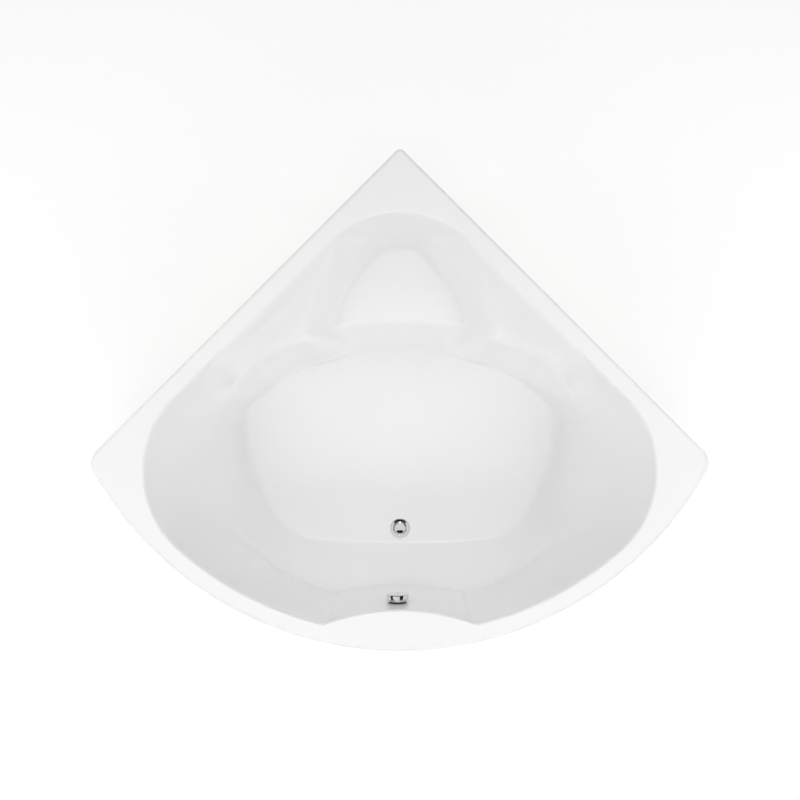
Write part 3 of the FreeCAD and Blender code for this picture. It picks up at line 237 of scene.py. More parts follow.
def depth(x, y):
    """Depth of the basin below the rim at plan points."""
    x = np.abs(np.asarray(x, float))
    y = np.asarray(y, float)
    a, r = ang(x, y), np.hypot(x, y - CY)
    de = r_open(a) - r
    inside = de > 0.0
    de = np.maximum(de, 0.0)
    df = r - FLOOR(a)
    m = UPPER(a)
    t = np.arctan(m)
    rr = ROUND(a)
    s0 = rr * np.sin(t)
    wall = np.where(de < s0, rr - np.sqrt(np.maximum(rr * rr - np.minimum(de, rr) ** 2, 0.0)), rr * (1 - np.cos(t)) + m * (de - s0))
    near = np.minimum(1.0, de / 60.0)
    toe = FLOOR_H - TOE(a) * df + 120.0 * step((a - 2.0) / 22.0)
    h = smin(wall, toe, MIX_WALL(a) * near)
    ds = SEAT_FRONT(x) - y
    seat = SEAT_H + smax(0.0, 2.12 * ds, 26.0) - 6.0 * step((y - 276.0) / 270.0)
    h = np.where(y > -60.0, smin(h, seat, (34.0 + 46.0 * step((y - 320.0) / 130.0)) * near), h)
    din = (ARM_INNER(y) - x) * 0.92
    f = 1.0 / np.sqrt(1.0 + ((ARM_FRONT(x + 1) - ARM_FRONT(x - 1)) / 2) ** 2)
    dfr = (ARM_FRONT(x) - y) * f
    away = (x - y) / RT2
    run = step((away - 262.0) / 290.0)
    top = ARM_H * (1.0 - np.exp(-(de / 78.0) ** 2)) + 10.0 * step(de / 120.0) + 370.0 * run * np.minimum(1.0, de / 100.0)
    fall = np.hypot((2.05 - 0.65 * step((y - 370.0) / 170.0)) * smax(0.0, din, 20.0), 4.4 * smax(0.0, dfr, 22.0))
    h = np.where(y > -260.0, smin(h, top + fall, (72.0 + 30.0 * run) * near * near), h)
    h = np.maximum(smin(h, FLOOR_H, MIX_FLOOR(a)), 0.0)
    return np.where(inside, h, 0.0)


# ---------------------------------------------------------------- mesh helpers
def smooth(mesh, angle=None):
    mesh.shade_smooth()
    if angle is not None:
        mesh.set_sharp_from_angle(angle=math.radians(angle))


def add(name, verts, faces, materials, body, replaces=(), index=None, sharp=None):
    """New piece from vertices in metres; it rides on a body and may stand for CAD nodes."""
    me = bpy.data.meshes.new(name)
    me.from_pydata([tuple(v) for v in verts], [], [tuple(f) for f in faces])
    me.validate()
    ob = bpy.data.objects.new(name, me)
    bpy.context.scene.collection.objects.link(ob)
    for m in materials:
        me.materials.append(m)
    if index is not None:
        me.polygons.foreach_set("material_index", np.asarray(index, np.int32))
    smooth(me, sharp)
    me.update()
    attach(ob, body)
    if replaces:
        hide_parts(*replaces)
    return ob


class Build:
    """Collects vertices and faces of one piece."""

    def __init__(self):
        self.v, self.f, self.m = [], [], []

    def put(self, verts, faces, mat=0):
        k = len(self.v)
        self.v.extend([tuple(float(c) for c in p) for p in verts])
        self.f.extend([tuple(i + k for i in f) for f in faces])
        self.m.extend([mat] * len(faces))

    def done(self, name, materials, body, replaces=(), sharp=None):
        return add(name, self.v, self.f, materials, body, replaces, self.m if len(materials) > 1 else None, sharp)


def frame_of(d):
    """Two unit vectors square to d."""
    d = np.asarray(d, float) / np.linalg.norm(d)
    h = np.array([0.0, 0.0, 1.0]) if abs(d[2]) < 0.9 else np.array([1.0, 0.0, 0.0])
    u = np.cross(h, d)
    u /= np.linalg.norm(u)
    return d, u, np.cross(d, u)


def lathe(profile, p, d, n=96, closed=True):
    """Body of revolution from (radius, height) points in mm about the axis d through p."""
    d, u, w = frame_of(d)
    p = np.asarray(p, float)
    t = np.arange(n) * 2 * np.pi / n
    verts, rings = [], []
    for r, h in profile:
        c = p + d * h
        if r < 1e-6:
            rings.append([len(verts)])
            verts.append(c * MM)
        else:
            rings.append(list(range(len(verts), len(verts) + n)))
            verts.extend((c + r * (math.cos(k) * u + math.sin(k) * w)) * MM for k in t)
    faces = []
    pairs = list(zip(rings[:-1], rings[1:]))
    if closed:
        pairs.append((rings[-1], rings[0]))
    for a, b in pairs:
        if len(a) == 1 and len(b) == 1:
            continue
        for i in range(n):
            j = (i + 1) % n
            if len(a) == 1:
                faces.append((a[0], b[j], b[i]))
            elif len(b) == 1:
                faces.append((a[i], a[j], b[0]))
            else:
                faces.append((a[i], a[j], b[j], b[i]))
    return verts, faces


def fix_normals(ob):
    bm = bmesh.new()
    bm.from_mesh(ob.data)
    bmesh.ops.recalc_face_normals(bm, faces=bm.faces)
    bm.to_mesh(ob.data)
    bm.free()


def soft_profile(pts, r=0.4, steps=3, closed=True):
    """Rounds every corner of a turned profile by about r."""
    out = []
    n = len(pts)
    for i, p in enumerate(pts):
        if not closed and i in (0, n - 1):
            out.append(p)
            continue
        a, b, c = np.array(pts[i - 1], float), np.array(p, float), np.array(pts[(i + 1) % n], float)
        la, lc = np.linalg.norm(a - b), np.linalg.norm(c - b)
        if b[0] < 1e-6 or la < 1e-6 or lc < 1e-6:
            out.append(p)
            continue
        ua, uc = (a - b) / la, (c - b) / lc
        turn = math.acos(max(-1.0, min(1.0, float(-ua @ uc))))
        if turn < math.radians(12):
            out.append(p)
            continue
        k = min(r * math.tan(turn / 2.0), 0.45 * la, 0.45 * lc)
        s, e = b + ua * k, b + uc * k
        for q in range(steps + 1):
            t = q / steps
            out.append(tuple((1 - t) ** 2 * s + 2 * t * (1 - t) * b + t * t * e))
    return out


# ---------------------------------------------------------------- bath shell
def ray_angles():
    cuts = [(-90.0, 0.5), (float(A_BUMP1) - 1.0, 0.25), (float(A_BUMP2) + 1.0, 0.5), (float(A_SIDE1) - 0.5, 0.3), (float(A_SIDE2) + 0.5, 0.5),
            (87.5, 0.25), (88.9, 0.11), (90.0, 0)]
    out = []
    for (a, s), (b, _) in zip(cuts, cuts[1:]):
        n = max(1, int(math.ceil((b - a) / s)))
        out += [a + (b - a) * k / n for k in range(n)]
    return np.array(out + [90.0])


def fair(rows, width=5):
    """Evens the row positions out from ray to ray, mirrored at both ends."""
    k = np.hanning(2 * width + 3)[1:-1]
    k /= k.sum()
    pad = np.vstack([rows[1:width + 1][::-1], rows, rows[-width - 1:-1][::-1]])
    return np.stack([np.convolve(pad[:, j], k, mode="valid") for j in range(rows.shape[1])], axis=1)


BASIN_ROWS, FLOOR_ROWS, FINE = 190, 7, 1400


def basin_rows(a):
    """Radii from the flat floor to the opening, close together where the surface turns."""
    c, s = np.cos(np.radians(a))[:, None], np.sin(np.radians(a))[:, None]
    r0, r1 = (FLOOR(a) - 115.0)[:, None], r_open(a)[:, None]
    t = np.linspace(0.0, 1.0, FINE)[None, :]
    r = r0 + (r1 - r0) * t
    z = RIM_Z - depth(r * c, CY + r * s)
    dr, dz = np.diff(r, axis=1), np.diff(z, axis=1)
    slope = np.arctan2(dz, dr)
    turn = np.abs(np.diff(slope, axis=1, prepend=slope[:, :1]))
    w = np.hypot(dr, dz) + 55.0 * turn
    cum = np.concatenate([np.zeros((len(a), 1)), np.cumsum(w, axis=1)], axis=1)
    cum /= cum[:, -1:]
    rows = np.stack([np.interp(np.linspace(0, 1, BASIN_ROWS), cum[i], t[0]) for i in range(len(a))])
    rows = fair(rows)
    rows[:, 0], rows[:, -1] = 0.0, 1.0
    return r0 + (r1 - r0) * rows


def shell_mesh():
    a = ray_angles()
    n = len(a)
    c, s = np.cos(np.radians(a)), np.sin(np.radians(a))
    r_in = FLOOR(a) - 115.0
    top = []                                                    # rows of (x, y, z), from the middle of the floor outwards
    for k in range(1, FLOOR_ROWS + 1):
        r = r_in * k / (FLOOR_ROWS + 1.0)
        top.append(np.stack([r * c, CY + r * s, np.full(n, FLOOR_Z)], 1))
    r = basin_rows(a)
    for k in range(BASIN_ROWS):
        x, y = r[:, k] * c, CY + r[:, k] * s
        top.append(np.stack([x, y, RIM_Z - depth(x, y)], 1))
    # normals of this part by differences along the surface
    def normal(x, y):
        e = 0.25
        hx = (depth(x + e, y) - depth(x - e, y)) / (2 * e)
        hy = (depth(x, y + e) - depth(x, y - e)) / (2 * e)
        v = np.stack([hx, hy, np.ones_like(hx)], 1)             # z = rim - depth, so the upward normal is (hx, hy, 1)
        return v / np.linalg.norm(v, axis=1)[:, None]

    ro = r_out(a)
    ox, oy = ro * c, CY + ro * s
    nx, ny = out_normal(a, ox, oy)

    def outline(inset, z):
        return np.stack([ox - nx * inset, oy - ny * inset, np.full(n, z)], 1)

    rim0, rim1 = top[-1], outline(LIP_ROUND, RIM_Z)
    outer = [rim0 + (rim1 - rim0) * t for t in np.linspace(0, 1, 8)[1:]]
    for t in np.linspace(0, 90, 9)[1:]:
        w = math.radians(t)
        outer.append(outline(LIP_ROUND * (1 - math.sin(w)), RIM_Z - LIP_ROUND * (1 - math.cos(w))))
    for z in np.linspace(RIM_Z - LIP_ROUND, RIM_Z - LIP_H + 1.6, 6)[1:]:
        outer.append(outline(0.0, z))
    for t in (30, 60, 90):
        w = math.radians(t)
        outer.append(outline(1.6 * (1 - math.cos(w)), RIM_Z - LIP_H + 1.6 * (1 - math.sin(w))))
    n_acrylic = len(top) + len(outer)
    back = []
    for t in (0, 45, 90):
        w = math.radians(t)
        back.append(outline(SHELL_T - 1.6 * (1 - math.sin(w)), RIM_Z - LIP_H + 1.6 * (1 - math.cos(w))))
    zi = RIM_Z - SHELL_T
    for z in np.linspace(RIM_Z - LIP_H + 1.6, zi - 4.0, 5)[1:]:
        back.append(outline(SHELL_T, z))
    for t in (30, 60, 90):
        w = math.radians(t)
        back.append(outline(SHELL_T + 4.0 * (1 - math.cos(w)), zi - 4.0 * (1 - math.sin(w))))
    low0 = back[-1]
    low1 = rim0 - np.array([0, 0, SHELL_T])
    back += [low0 + (low1 - low0) * t for t in np.linspace(0, 1, 4)[1:-1]]
    pick = list(range(BASIN_ROWS - 1, 0, -2))
    for k in pick:
        x, y = r[:, k] * c, CY + r[:, k] * s
        p = np.stack([x, y, RIM_Z - depth(x, y)], 1)
        if k == BASIN_ROWS - 1:
            back.append(low1)
        else:
            back.append(p - normal(x, y) * SHELL_T)
    back.append(np.stack([r[:, 0] * c, CY + r[:, 0] * s, np.full(n, FLOOR_Z - SHELL_T)], 1))
    for k in (5, 3, 1):
        q = r_in * k / (FLOOR_ROWS + 1.0)
        back.append(np.stack([q * c, CY + q * s, np.full(n, FLOOR_Z - SHELL_T)], 1))
    rows = np.array(top + outer + back)                          # rows x rays x 3
    # whole turn: right half, then the left half mirrored without the two middle rays
    left = rows[:, 1:-1][:, ::-1] * np.array([-1.0, 1.0, 1.0])
    rows = np.concatenate([rows, left], axis=1)
    m, w = rows.shape[0], rows.shape[1]
    verts = rows.reshape(-1, 3)
    i, j = np.meshgrid(np.arange(m - 1), np.arange(w), indexing="ij")
    k = (j + 1) % w
    faces = np.stack([i * w + j, (i + 1) * w + j, (i + 1) * w + k, i * w + k], -1).reshape(-1, 4)
    mat = (i.reshape(-1) >= n_acrylic - 1).astype(int)
    return verts, faces, mat, m, w


def wall_y(x, z):
    """Place of the front wall at a height, by halving."""
    lo, hi = np.full_like(x, -745.0), np.full_like(x, -560.0)
    for _ in range(40):
        mid = (lo + hi) / 2
        deep = depth(x, mid) > RIM_Z - z
        hi = np.where(deep, mid, hi)
        lo = np.where(deep, lo, mid)
    return (lo + hi) / 2


def cut_hole(verts, faces, mat, plane, centre, radius, place, keep, seg=96):
    """Opens a round hole: drops the faces near it and fills up to a clean circle. plane gives the two flat coordinates."""
    p = verts[:, plane]
    d = np.hypot(p[:, 0] - centre[0], p[:, 1] - centre[1])
    near = (d < radius * 1.22) & keep
    drop = near[faces].any(axis=1)
    ring_faces = faces[drop]
    edges = {}
    for f in ring_faces:
        for u, v in zip(f, np.roll(f, -1)):
            key = (min(u, v), max(u, v))
            edges[key] = edges.get(key, 0) + 1
    border = [e for e, q in edges.items() if q == 1]
    loop_ids = sorted({i for e in border for i in e})
    local = {g: q for q, g in enumerate(loop_ids)}
    t = np.arange(seg) * 2 * np.pi / seg
    cx, cy = centre[0] + radius * np.cos(t), centre[1] + radius * np.sin(t)
    mid = centre[0] + radius * 1.11 * np.cos(t[::2] + 0.03), centre[1] + radius * 1.11 * np.sin(t[::2] + 0.03)
    pts = [Vector((float(u), float(v))) for u, v in p[loop_ids]]
    nb = len(pts)
    pts += [Vector((float(u), float(v))) for u, v in zip(cx, cy)]
    pts += [Vector((float(u), float(v))) for u, v in zip(*mid)]
    e2 = [(local[u], local[v]) for u, v in border] + [(nb + q, nb + (q + 1) % seg) for q in range(seg)]
    vo, _, fo, vmap, _, _ = delaunay_2d_cdt(pts, e2, [], 0, 1e-4)
    back_to = {}
    for new, olds in enumerate(vmap):
        for o in olds:
            back_to[new] = o
    outside = np.concatenate([cx, mid[0]]), np.concatenate([cy, mid[1]])
    new_xyz = place(*outside)
    base = len(verts)
    verts = np.vstack([verts, new_xyz])
    poly = np.array([[v.x, v.y] for v in pts[:nb]])
    tri = []
    for f in fo:
        g = [back_to[q] for q in f]
        m2 = np.mean([[pts[q].x, pts[q].y] for q in g], axis=0)
        if np.hypot(m2[0] - centre[0], m2[1] - centre[1]) < radius * 0.995:
            continue
        if all(q < nb for q in g) and not inside_loop(m2, border, p):
            continue
        if not inside_loop(m2, border, p):
            continue
        tri.append([loop_ids[q] if q < nb else base + q - nb for q in g])
    # keep the sense of the faces that were there
    f0 = ring_faces[0]
    s0 = np.sign(area2(p[f0]))
    pv = verts[:, plane]
    tri = [q if np.sign(area2(pv[q])) == s0 else q[::-1] for q in tri]
    left = faces[~drop]
    ring = np.arange(base, base + seg)
    return verts, [list(f) for f in left], mat[~drop], tri, int(mat[drop][0]), ring


def area2(q):
    x, y = q[:, 0], q[:, 1]
    return float(np.sum(x * np.roll(y, -1) - np.roll(x, -1) * y))


def inside_loop(pt, border, p):
    x, y = pt
    hit = False
    for u, v in border:
        (x1, y1), (x2, y2) = p[u], p[v]
        if (y1 > y) != (y2 > y) and x < (x2 - x1) * (y - y1) / (y2 - y1) + x1:
            hit = not hit
    return hit


def make_shell(mats):
    verts, faces, mat, m, w = shell_mesh()
    total = len(verts)
    row = np.arange(total) // w
    n_top = FLOOR_ROWS + BASIN_ROWS
    state = {"v": verts, "f": faces, "m": mat, "extra": [], "extra_m": []}

    def hole(plane, centre, radius, place, rows_lo, rows_hi, also):
        v = state["v"]
        r_all = np.concatenate([row, np.full(len(v) - total, -1)])
        keep = (r_all >= rows_lo) & (r_all < rows_hi) & also(v)
        v2, left, m2, tri, tm, ring = cut_hole(v, state["f"], state["m"], plane, centre, radius, place, keep)
        state["v"], state["f"], state["m"] = v2, np.array(left), m2
        state["extra"] += tri
        state["extra_m"] += [tm] * len(tri)
        return ring

    last = m
    dz_t = hole([0, 1], (0.0, DRAIN_Y), 26.0, lambda u, v: np.stack([u, v, np.full_like(u, FLOOR_Z)], 1), 0, n_top, lambda v: v[:, 2] < 200)
    dz_b = hole([0, 1], (0.0, DRAIN_Y), 26.0, lambda u, v: np.stack([u, v, np.full_like(u, FLOOR_Z - SHELL_T)], 1), n_top + 20, last, lambda v: v[:, 2] < 200)

    def under(u, v):
        y = wall_y(u, v)
        e = 0.5
        hx = (wall_y(u + e, v) - wall_y(u - e, v)) / (2 * e)
        hz = (wall_y(u, v + e) - wall_y(u, v - e)) / (2 * e)
        return y - SHELL_T * np.sqrt(1 + hx * hx + hz * hz)

    near = lambda v: (v[:, 1] < -600) & (np.abs(v[:, 0]) < 120)
    ov_t = hole([0, 2], (OVER_X, OVER_Z), 25.0, lambda u, v: np.stack([u, wall_y(u, v), v], 1), 0, n_top, near)
    ov_b = hole([0, 2], (OVER_X, OVER_Z), 25.0, lambda u, v: np.stack([u, under(u, v), v], 1), n_top + 20, last, near)

    faces_out = [tuple(f) for f in state["f"]] + [tuple(f) for f in state["extra"]]
    mats_out = list(state["m"]) + state["extra_m"]
    for t_ring, b_ring in ((dz_t, dz_b), (ov_t, ov_b)):
        k = len(t_ring)
        for q in range(k):
            faces_out.append((t_ring[q], t_ring[(q + 1) % k], b_ring[(q + 1) % k], b_ring[q]))
            mats_out.append(0)
    v = state["v"]
    # middle of the floor, above and below
    c_top, c_low = len(v), len(v) + 1
    v = np.vstack([v, [[0, CY, FLOOR_Z], [0, CY, FLOOR_Z - SHELL_T]]])
    for q in range(w):
        faces_out.append((c_top, q, (q + 1) % w))
        mats_out.append(0)
        a0 = (m - 1) * w
        faces_out.append((c_low, a0 + (q + 1) % w, a0 + q))
        mats_out.append(1)
    used = sorted({i for f in faces_out for i in f})
    remap = {g: q for q, g in enumerate(used)}
    faces_out = [tuple(remap[i] for i in f) for f in faces_out]
    ob = add("bath_shell_form", v[used] * MM, faces_out, mats, "bath", ["bath_shell"], mats_out)
    fix_normals(ob)
    return ob


# ---------------------------------------------------------------- finishes
class Mat:
    """Principled material with helpers for its own noise, bump and wear; patterns sit on the piece's own coordinates."""

    def __init__(self, name, color, rough, metal=0.0, **fixed):
        self.m = bpy.data.materials.new(name)
        self.m.use_nodes = True
        self.t = self.m.node_tree
        self.t.nodes.clear()
        self.out = self.node("OutputMaterial")
        self.b = self.node("BsdfPrincipled")
        self.link(self.b.outputs[0], self.out.inputs[0])
        self.b.inputs["Base Color"].default_value = (*color, 1.0)
        self.b.inputs["Roughness"].default_value = rough
        self.b.inputs["Metallic"].default_value = metal
        for k, v in fixed.items():
            self.b.inputs[k.replace("_", " ")].default_value = v
        self.xyz = self.node("TexCoord").outputs["Object"]

    def node(self, kind, **props):
        n = self.t.nodes.new("ShaderNode" + kind)
        for k, v in props.items():
            setattr(n, k, v)
        return n

    def link(self, a, b):
        self.t.links.new(a, b)

    def mapped(self, scale=(1, 1, 1), turn=(0, 0, 0), vec=None):
        n = self.node("Mapping")
        self.link(vec or self.xyz, n.inputs["Vector"])
        n.inputs["Scale"].default_value = scale
        n.inputs["Rotation"].default_value = [math.radians(k) for k in turn]
        return n.outputs[0]

    def noise(self, scale, detail=3.0, rough=0.5, vec=None, bend=0.0):
        n = self.node("TexNoise")
        self.link(vec or self.xyz, n.inputs["Vector"])
        n.inputs["Scale"].default_value = scale
        n.inputs["Detail"].default_value = detail
        n.inputs["Roughness"].default_value = rough
        n.inputs["Distortion"].default_value = bend
        return n.outputs["Fac"]

    def cells(self, scale, vec=None, feature="F1", out="Distance", random=1.0):
        n = self.node("TexVoronoi", feature=feature)
        self.link(vec or self.xyz, n.inputs["Vector"])
        n.inputs["Scale"].default_value = scale
        n.inputs["Randomness"].default_value = random
        return n.outputs[out]

    def range(self, v, a, b, c, d):
        n = self.node("MapRange")
        self.link(v, n.inputs["Value"])
        for k, q in zip(("From Min", "From Max", "To Min", "To Max"), (a, b, c, d)):
            n.inputs[k].default_value = q
        return n.outputs["Result"]

    def math(self, op, a, b):
        n = self.node("Math", operation=op)
        for i, q in enumerate((a, b)):
            if isinstance(q, (int, float)):
                n.inputs[i].default_value = q
            else:
                self.link(q, n.inputs[i])
        return n.outputs[0]

    def blend(self, fac, a, b):
        n = self.node("Mix", data_type="RGBA")
        self.link(fac, n.inputs[0])
        for i, q in ((6, a), (7, b)):
            if isinstance(q, tuple):
                n.inputs[i].default_value = (*q, 1.0)
            else:
                self.link(q, n.inputs[i])
        return n.outputs[2]

    def bump(self, height, depth_m, strength=1.0, under=None):
        n = self.node("Bump")
        n.inputs["Strength"].default_value = strength
        n.inputs["Distance"].default_value = depth_m
        self.link(height, n.inputs["Height"])
        if under:
            self.link(under, n.inputs["Normal"])
        return n.outputs["Normal"]

    def color(self, v):
        self.link(v, self.b.inputs["Base Color"])

    def rough(self, v):
        self.link(v, self.b.inputs["Roughness"])

    def normal(self, v, coat=False):
        self.link(v, self.b.inputs["Normal"])
        if coat:
            self.link(v, self.b.inputs["Coat Normal"])


def acrylic(name="acrylic_gloss"):
    m = Mat(name, (0.885, 0.888, 0.885), 0.13, IOR=1.49, Coat_Weight=0.35, Coat_Roughness=0.04)
    cloud = m.noise(2.3, 4.0, 0.55)
    m.color(m.blend(m.range(cloud, 0.3, 0.7, 0.0, 1.0), (0.893, 0.896, 0.893), (0.877, 0.880, 0.877)))
    # wiped surface: long faint streaks and fine dull spots
    wipe = m.noise(9.0, 5.0, 0.6, m.mapped((1.0, 4.5, 4.5), (0, 0, 33)))
    haze = m.noise(60.0, 3.0, 0.6)
    m.rough(m.math("ADD", m.range(wipe, 0.3, 0.75, 0.09, 0.17), m.range(haze, 0.4, 0.8, 0.0, 0.04)))
    wave = m.bump(m.noise(7.0, 2.0, 0.45), 0.00035, 0.6)
    peel = m.bump(m.noise(420.0, 2.0, 0.5), 0.00002, 0.5, wave)
    m.normal(peel)
    return m.m


def laminate(name="glass_fibre_back"):
    """Back of the shell: chopped strands in resin."""
    m = Mat(name, (0.74, 0.73, 0.65), 0.42, IOR=1.53)
    strands = None
    for k, (rx, ry, rz) in enumerate([(10, 25, 0), (75, 5, 38), (20, 70, 80), (50, 40, 118), (5, 15, 152), (85, 60, 20)]):
        s = m.noise(1.0, 1.0, 0.4, m.mapped((26.0 + 3 * k, 640.0, 640.0), (rx, ry, rz)))
        s = m.range(s, 0.60, 0.68, 0.0, 1.0)
        strands = s if strands is None else m.math("MAXIMUM", strands, s)
    pool = m.noise(11.0, 4.0, 0.6)
    tone = m.blend(m.range(pool, 0.35, 0.7, 0.0, 1.0), (0.70, 0.68, 0.56), (0.80, 0.79, 0.71))
    m.color(m.blend(m.math("MULTIPLY", strands, 0.55), tone, (0.90, 0.90, 0.86)))
    m.rough(m.range(pool, 0.3, 0.75, 0.28, 0.62))
    run = m.bump(m.noise(16.0, 3.0, 0.5, m.mapped((1, 1, 0.35))), 0.0022, 0.6)
    m.normal(m.bump(strands, 0.0004, 0.7, run))
    return m.m


def chrome(name="chrome_plate", r0=0.035, r1=0.09):
    m = Mat(name, (0.80, 0.81, 0.825), 0.05, 1.0)
    smear = m.noise(38.0, 4.0, 0.6)
    m.rough(m.range(smear, 0.35, 0.75, r0, r1))
    m.color(m.blend(m.range(smear, 0.3, 0.8, 0.0, 1.0), (0.815, 0.825, 0.84), (0.77, 0.78, 0.79)))
    hair = m.noise(1.0, 2.0, 0.5, m.mapped((90.0, 2600.0, 2600.0), (12, 30, 21)))
    m.normal(m.bump(m.range(hair, 0.62, 0.72, 0.0, 1.0), 0.000006, 0.35))
    return m.m


def brushed(name, color, r0, r1, scale=(40, 1800, 1800), turn=(0, 0, 0)):
    m = Mat(name, color, r1, 1.0)
    line = m.noise(1.0, 3.0, 0.6, m.mapped(scale, turn))
    m.rough(m.range(line, 0.3, 0.7, r0, r1))
    dark = tuple(c * 0.82 for c in color)
    m.color(m.blend(m.range(m.noise(55.0, 3.0, 0.6), 0.35, 0.75, 0.0, 1.0), color, dark))
    m.normal(m.bump(line, 0.00001, 0.5))
    return m.m


def zinc(name="zinc_plate", color=(0.70, 0.71, 0.71)):
    m = Mat(name, color, 0.34, 1.0)
    patch = m.cells(85.0, out="Distance")
    tint = m.noise(33.0, 4.0, 0.6)
    warm = (color[0] * 0.98, color[1] * 0.93, color[2] * 0.82)
    cool = (color[0] * 0.86, color[1] * 0.91, color[2] * 0.99)
    m.color(m.blend(m.range(tint, 0.35, 0.68, 0.0, 1.0), warm, cool))
    m.rough(m.math("ADD", m.range(patch, 0.0, 0.9, 0.24, 0.36), m.range(m.noise(260.0, 3.0, 0.6), 0.3, 0.8, 0.0, 0.12)))
    m.normal(m.bump(m.noise(520.0, 3.0, 0.6), 0.00003, 0.5))
    return m.m


def powder(name="powder_grey", color=(0.115, 0.12, 0.13)):
    m = Mat(name, color, 0.42)
    peel = m.noise(340.0, 2.0, 0.5)
    worn = m.noise(24.0, 5.0, 0.65)
    light = tuple(min(1.0, c * 1.45 + 0.01) for c in color)
    m.color(m.blend(m.range(worn, 0.45, 0.8, 0.0, 1.0), color, light))
    m.rough(m.range(peel, 0.3, 0.7, 0.34, 0.52))
    m.normal(m.bump(peel, 0.00008, 0.55))
    return m.m


def plastic(name, color, r0, r1, grain=700.0, depth_m=0.00002, spread=0.07):
    m = Mat(name, color, r1, IOR=1.5)
    tone = m.noise(21.0, 3.0, 0.5)
    other = tuple(max(0.0, c * (1 - spread)) for c in color)
    m.color(m.blend(m.range(tone, 0.3, 0.7, 0.0, 1.0), color, other))
    g = m.noise(grain, 2.0, 0.5)
    m.rough(m.math("ADD", m.range(g, 0.3, 0.7, r0, r1), m.range(tone, 0.3, 0.8, 0.0, 0.05)))
    m.normal(m.bump(g, depth_m, 0.6))
    return m.m


def timber(name, turn, color=(0.64, 0.47, 0.28)):
    """Plywood: grain along the piece and thin plies on its edges."""
    m = Mat(name, color, 0.6)
    v = m.mapped((3.0, 46.0, 46.0), (0, 0, turn))
    grain = m.noise(1.0, 6.0, 0.62, v, 0.6)
    pore = m.noise(1.0, 2.0, 0.5, m.mapped((38.0, 950.0, 950.0), (0, 0, turn)))
    dark = (color[0] * 0.66, color[1] * 0.60, color[2] * 0.52)
    face = m.blend(m.range(grain, 0.36, 0.66, 0.0, 1.0), color, dark)
    ply = m.node("TexWave", wave_type="BANDS", bands_direction="Z", wave_profile="SIN")
    m.link(m.xyz, ply.inputs["Vector"])
    ply.inputs["Scale"].default_value = 130.0
    ply.inputs["Distortion"].default_value = 0.4
    side = m.node("NewGeometry")
    up = m.node("SeparateXYZ")
    m.link(side.outputs["Normal"], up.inputs[0])
    edge = m.range(m.math("ABSOLUTE", up.outputs[2], 0.0), 0.2, 0.6, 1.0, 0.0)
    ply_tone = m.math("MULTIPLY", edge, m.range(ply.outputs["Fac"], 0.35, 0.65, 0.0, 0.45))
    m.color(m.blend(ply_tone, face, dark))
    m.rough(m.range(grain, 0.3, 0.7, 0.5, 0.72))
    m.normal(m.bump(pore, 0.00012, 0.5, m.bump(grain, 0.00025, 0.4)))
    return m.m


def chipboard(name="resin_board"):
    """Particle board under a coat of resin."""
    m = Mat(name, (0.60, 0.46, 0.29), 0.35, IOR=1.52)
    warp = m.noise(30.0, 2.0, 0.5)
    chip = m.node("TexVoronoi", feature="F1")
    m.link(m.mapped((150.0, 95.0, 210.0), (0, 0, 17)), chip.inputs["Vector"])
    chip.inputs["Scale"].default_value = 1.0
    tone = m.node("SeparateColor")
    m.link(chip.outputs["Color"], tone.inputs[0])
    wood = m.blend(m.range(tone.outputs[0], 0.0, 1.0, 0.0, 1.0), (0.66, 0.50, 0.32), (0.40, 0.28, 0.16))
    strand = m.range(m.noise(1.0, 1.0, 0.4, m.mapped((26.0, 620.0, 620.0), (8, 12, 55))), 0.6, 0.7, 0.0, 0.35)
    m.color(m.blend(strand, wood, (0.80, 0.76, 0.66)))
    m.rough(m.range(warp, 0.3, 0.7, 0.25, 0.48))
    m.normal(m.bump(chip.outputs["Distance"], 0.0003, 0.4, m.bump(warp, 0.0008, 0.4)))
    return m.m


ACRYLIC = acrylic()
LAMINATE = laminate()
CHROME = chrome()
CHROME_SOFT = chrome("chrome_inner", 0.08, 0.2)
STEEL = brushed("stainless", (0.62, 0.62, 0.61), 0.22, 0.38)
ZINC = zinc()
ROD_ZINC = zinc("zinc_thread", (0.66, 0.67, 0.68))
POWDER = powder()
BLACK = plastic("black_moulded", (0.028, 0.028, 0.030), 0.38, 0.55)
FOOT = plastic("foot_moulded", (0.033, 0.033, 0.035), 0.45, 0.65, 420.0, 0.00006)
RUBBER = plastic("black_rubber", (0.022, 0.022, 0.023), 0.62, 0.8, 900.0, 0.00003)
WHITE_PP = plastic("white_moulded", (0.80, 0.805, 0.79), 0.28, 0.42)
GREY_PP = plastic("grey_moulded", (0.36, 0.375, 0.39), 0.32, 0.46)
PLY_ALONG = timber("plywood_front", 0)
PLY_RIGHT = timber("plywood_wall", 45)
BOARD = chipboard()

make_shell([ACRYLIC, LAMINATE])

# ---------------------------------------------------------------- chrome fittings
OV = (OVER_X, 0.0, OVER_Z)
Y_AX = (0.0, 1.0, 0.0)
DR = (0.0, DRAIN_Y, 0.0)

# knob: drawn cup with a slightly domed face and a fine ring near its edge
knob = Build()
prof = [(4.0, -664), (9, -664), (9, -655), (34.8, -655), (34.8, -671.4), (36.4, -672), (37.5, -671.2), (37.5, -653.6), (36.4, -651.9), (34.2, -651.25),
        (32.6, -651.2), (32.0, -651.7), (31.2, -651.7), (30.6, -651.2), (24.0, -651.06), (10.0, -651.02), (4.9, -651.0), (4.4, -651.6), (4.0, -652.2)]
knob.put(*lathe(soft_profile(prof, 0.5, 4), OV, Y_AX, 144))
fix_normals(knob.done("knob_form", [CHROME], "knob", ["knob_cap"], 38))

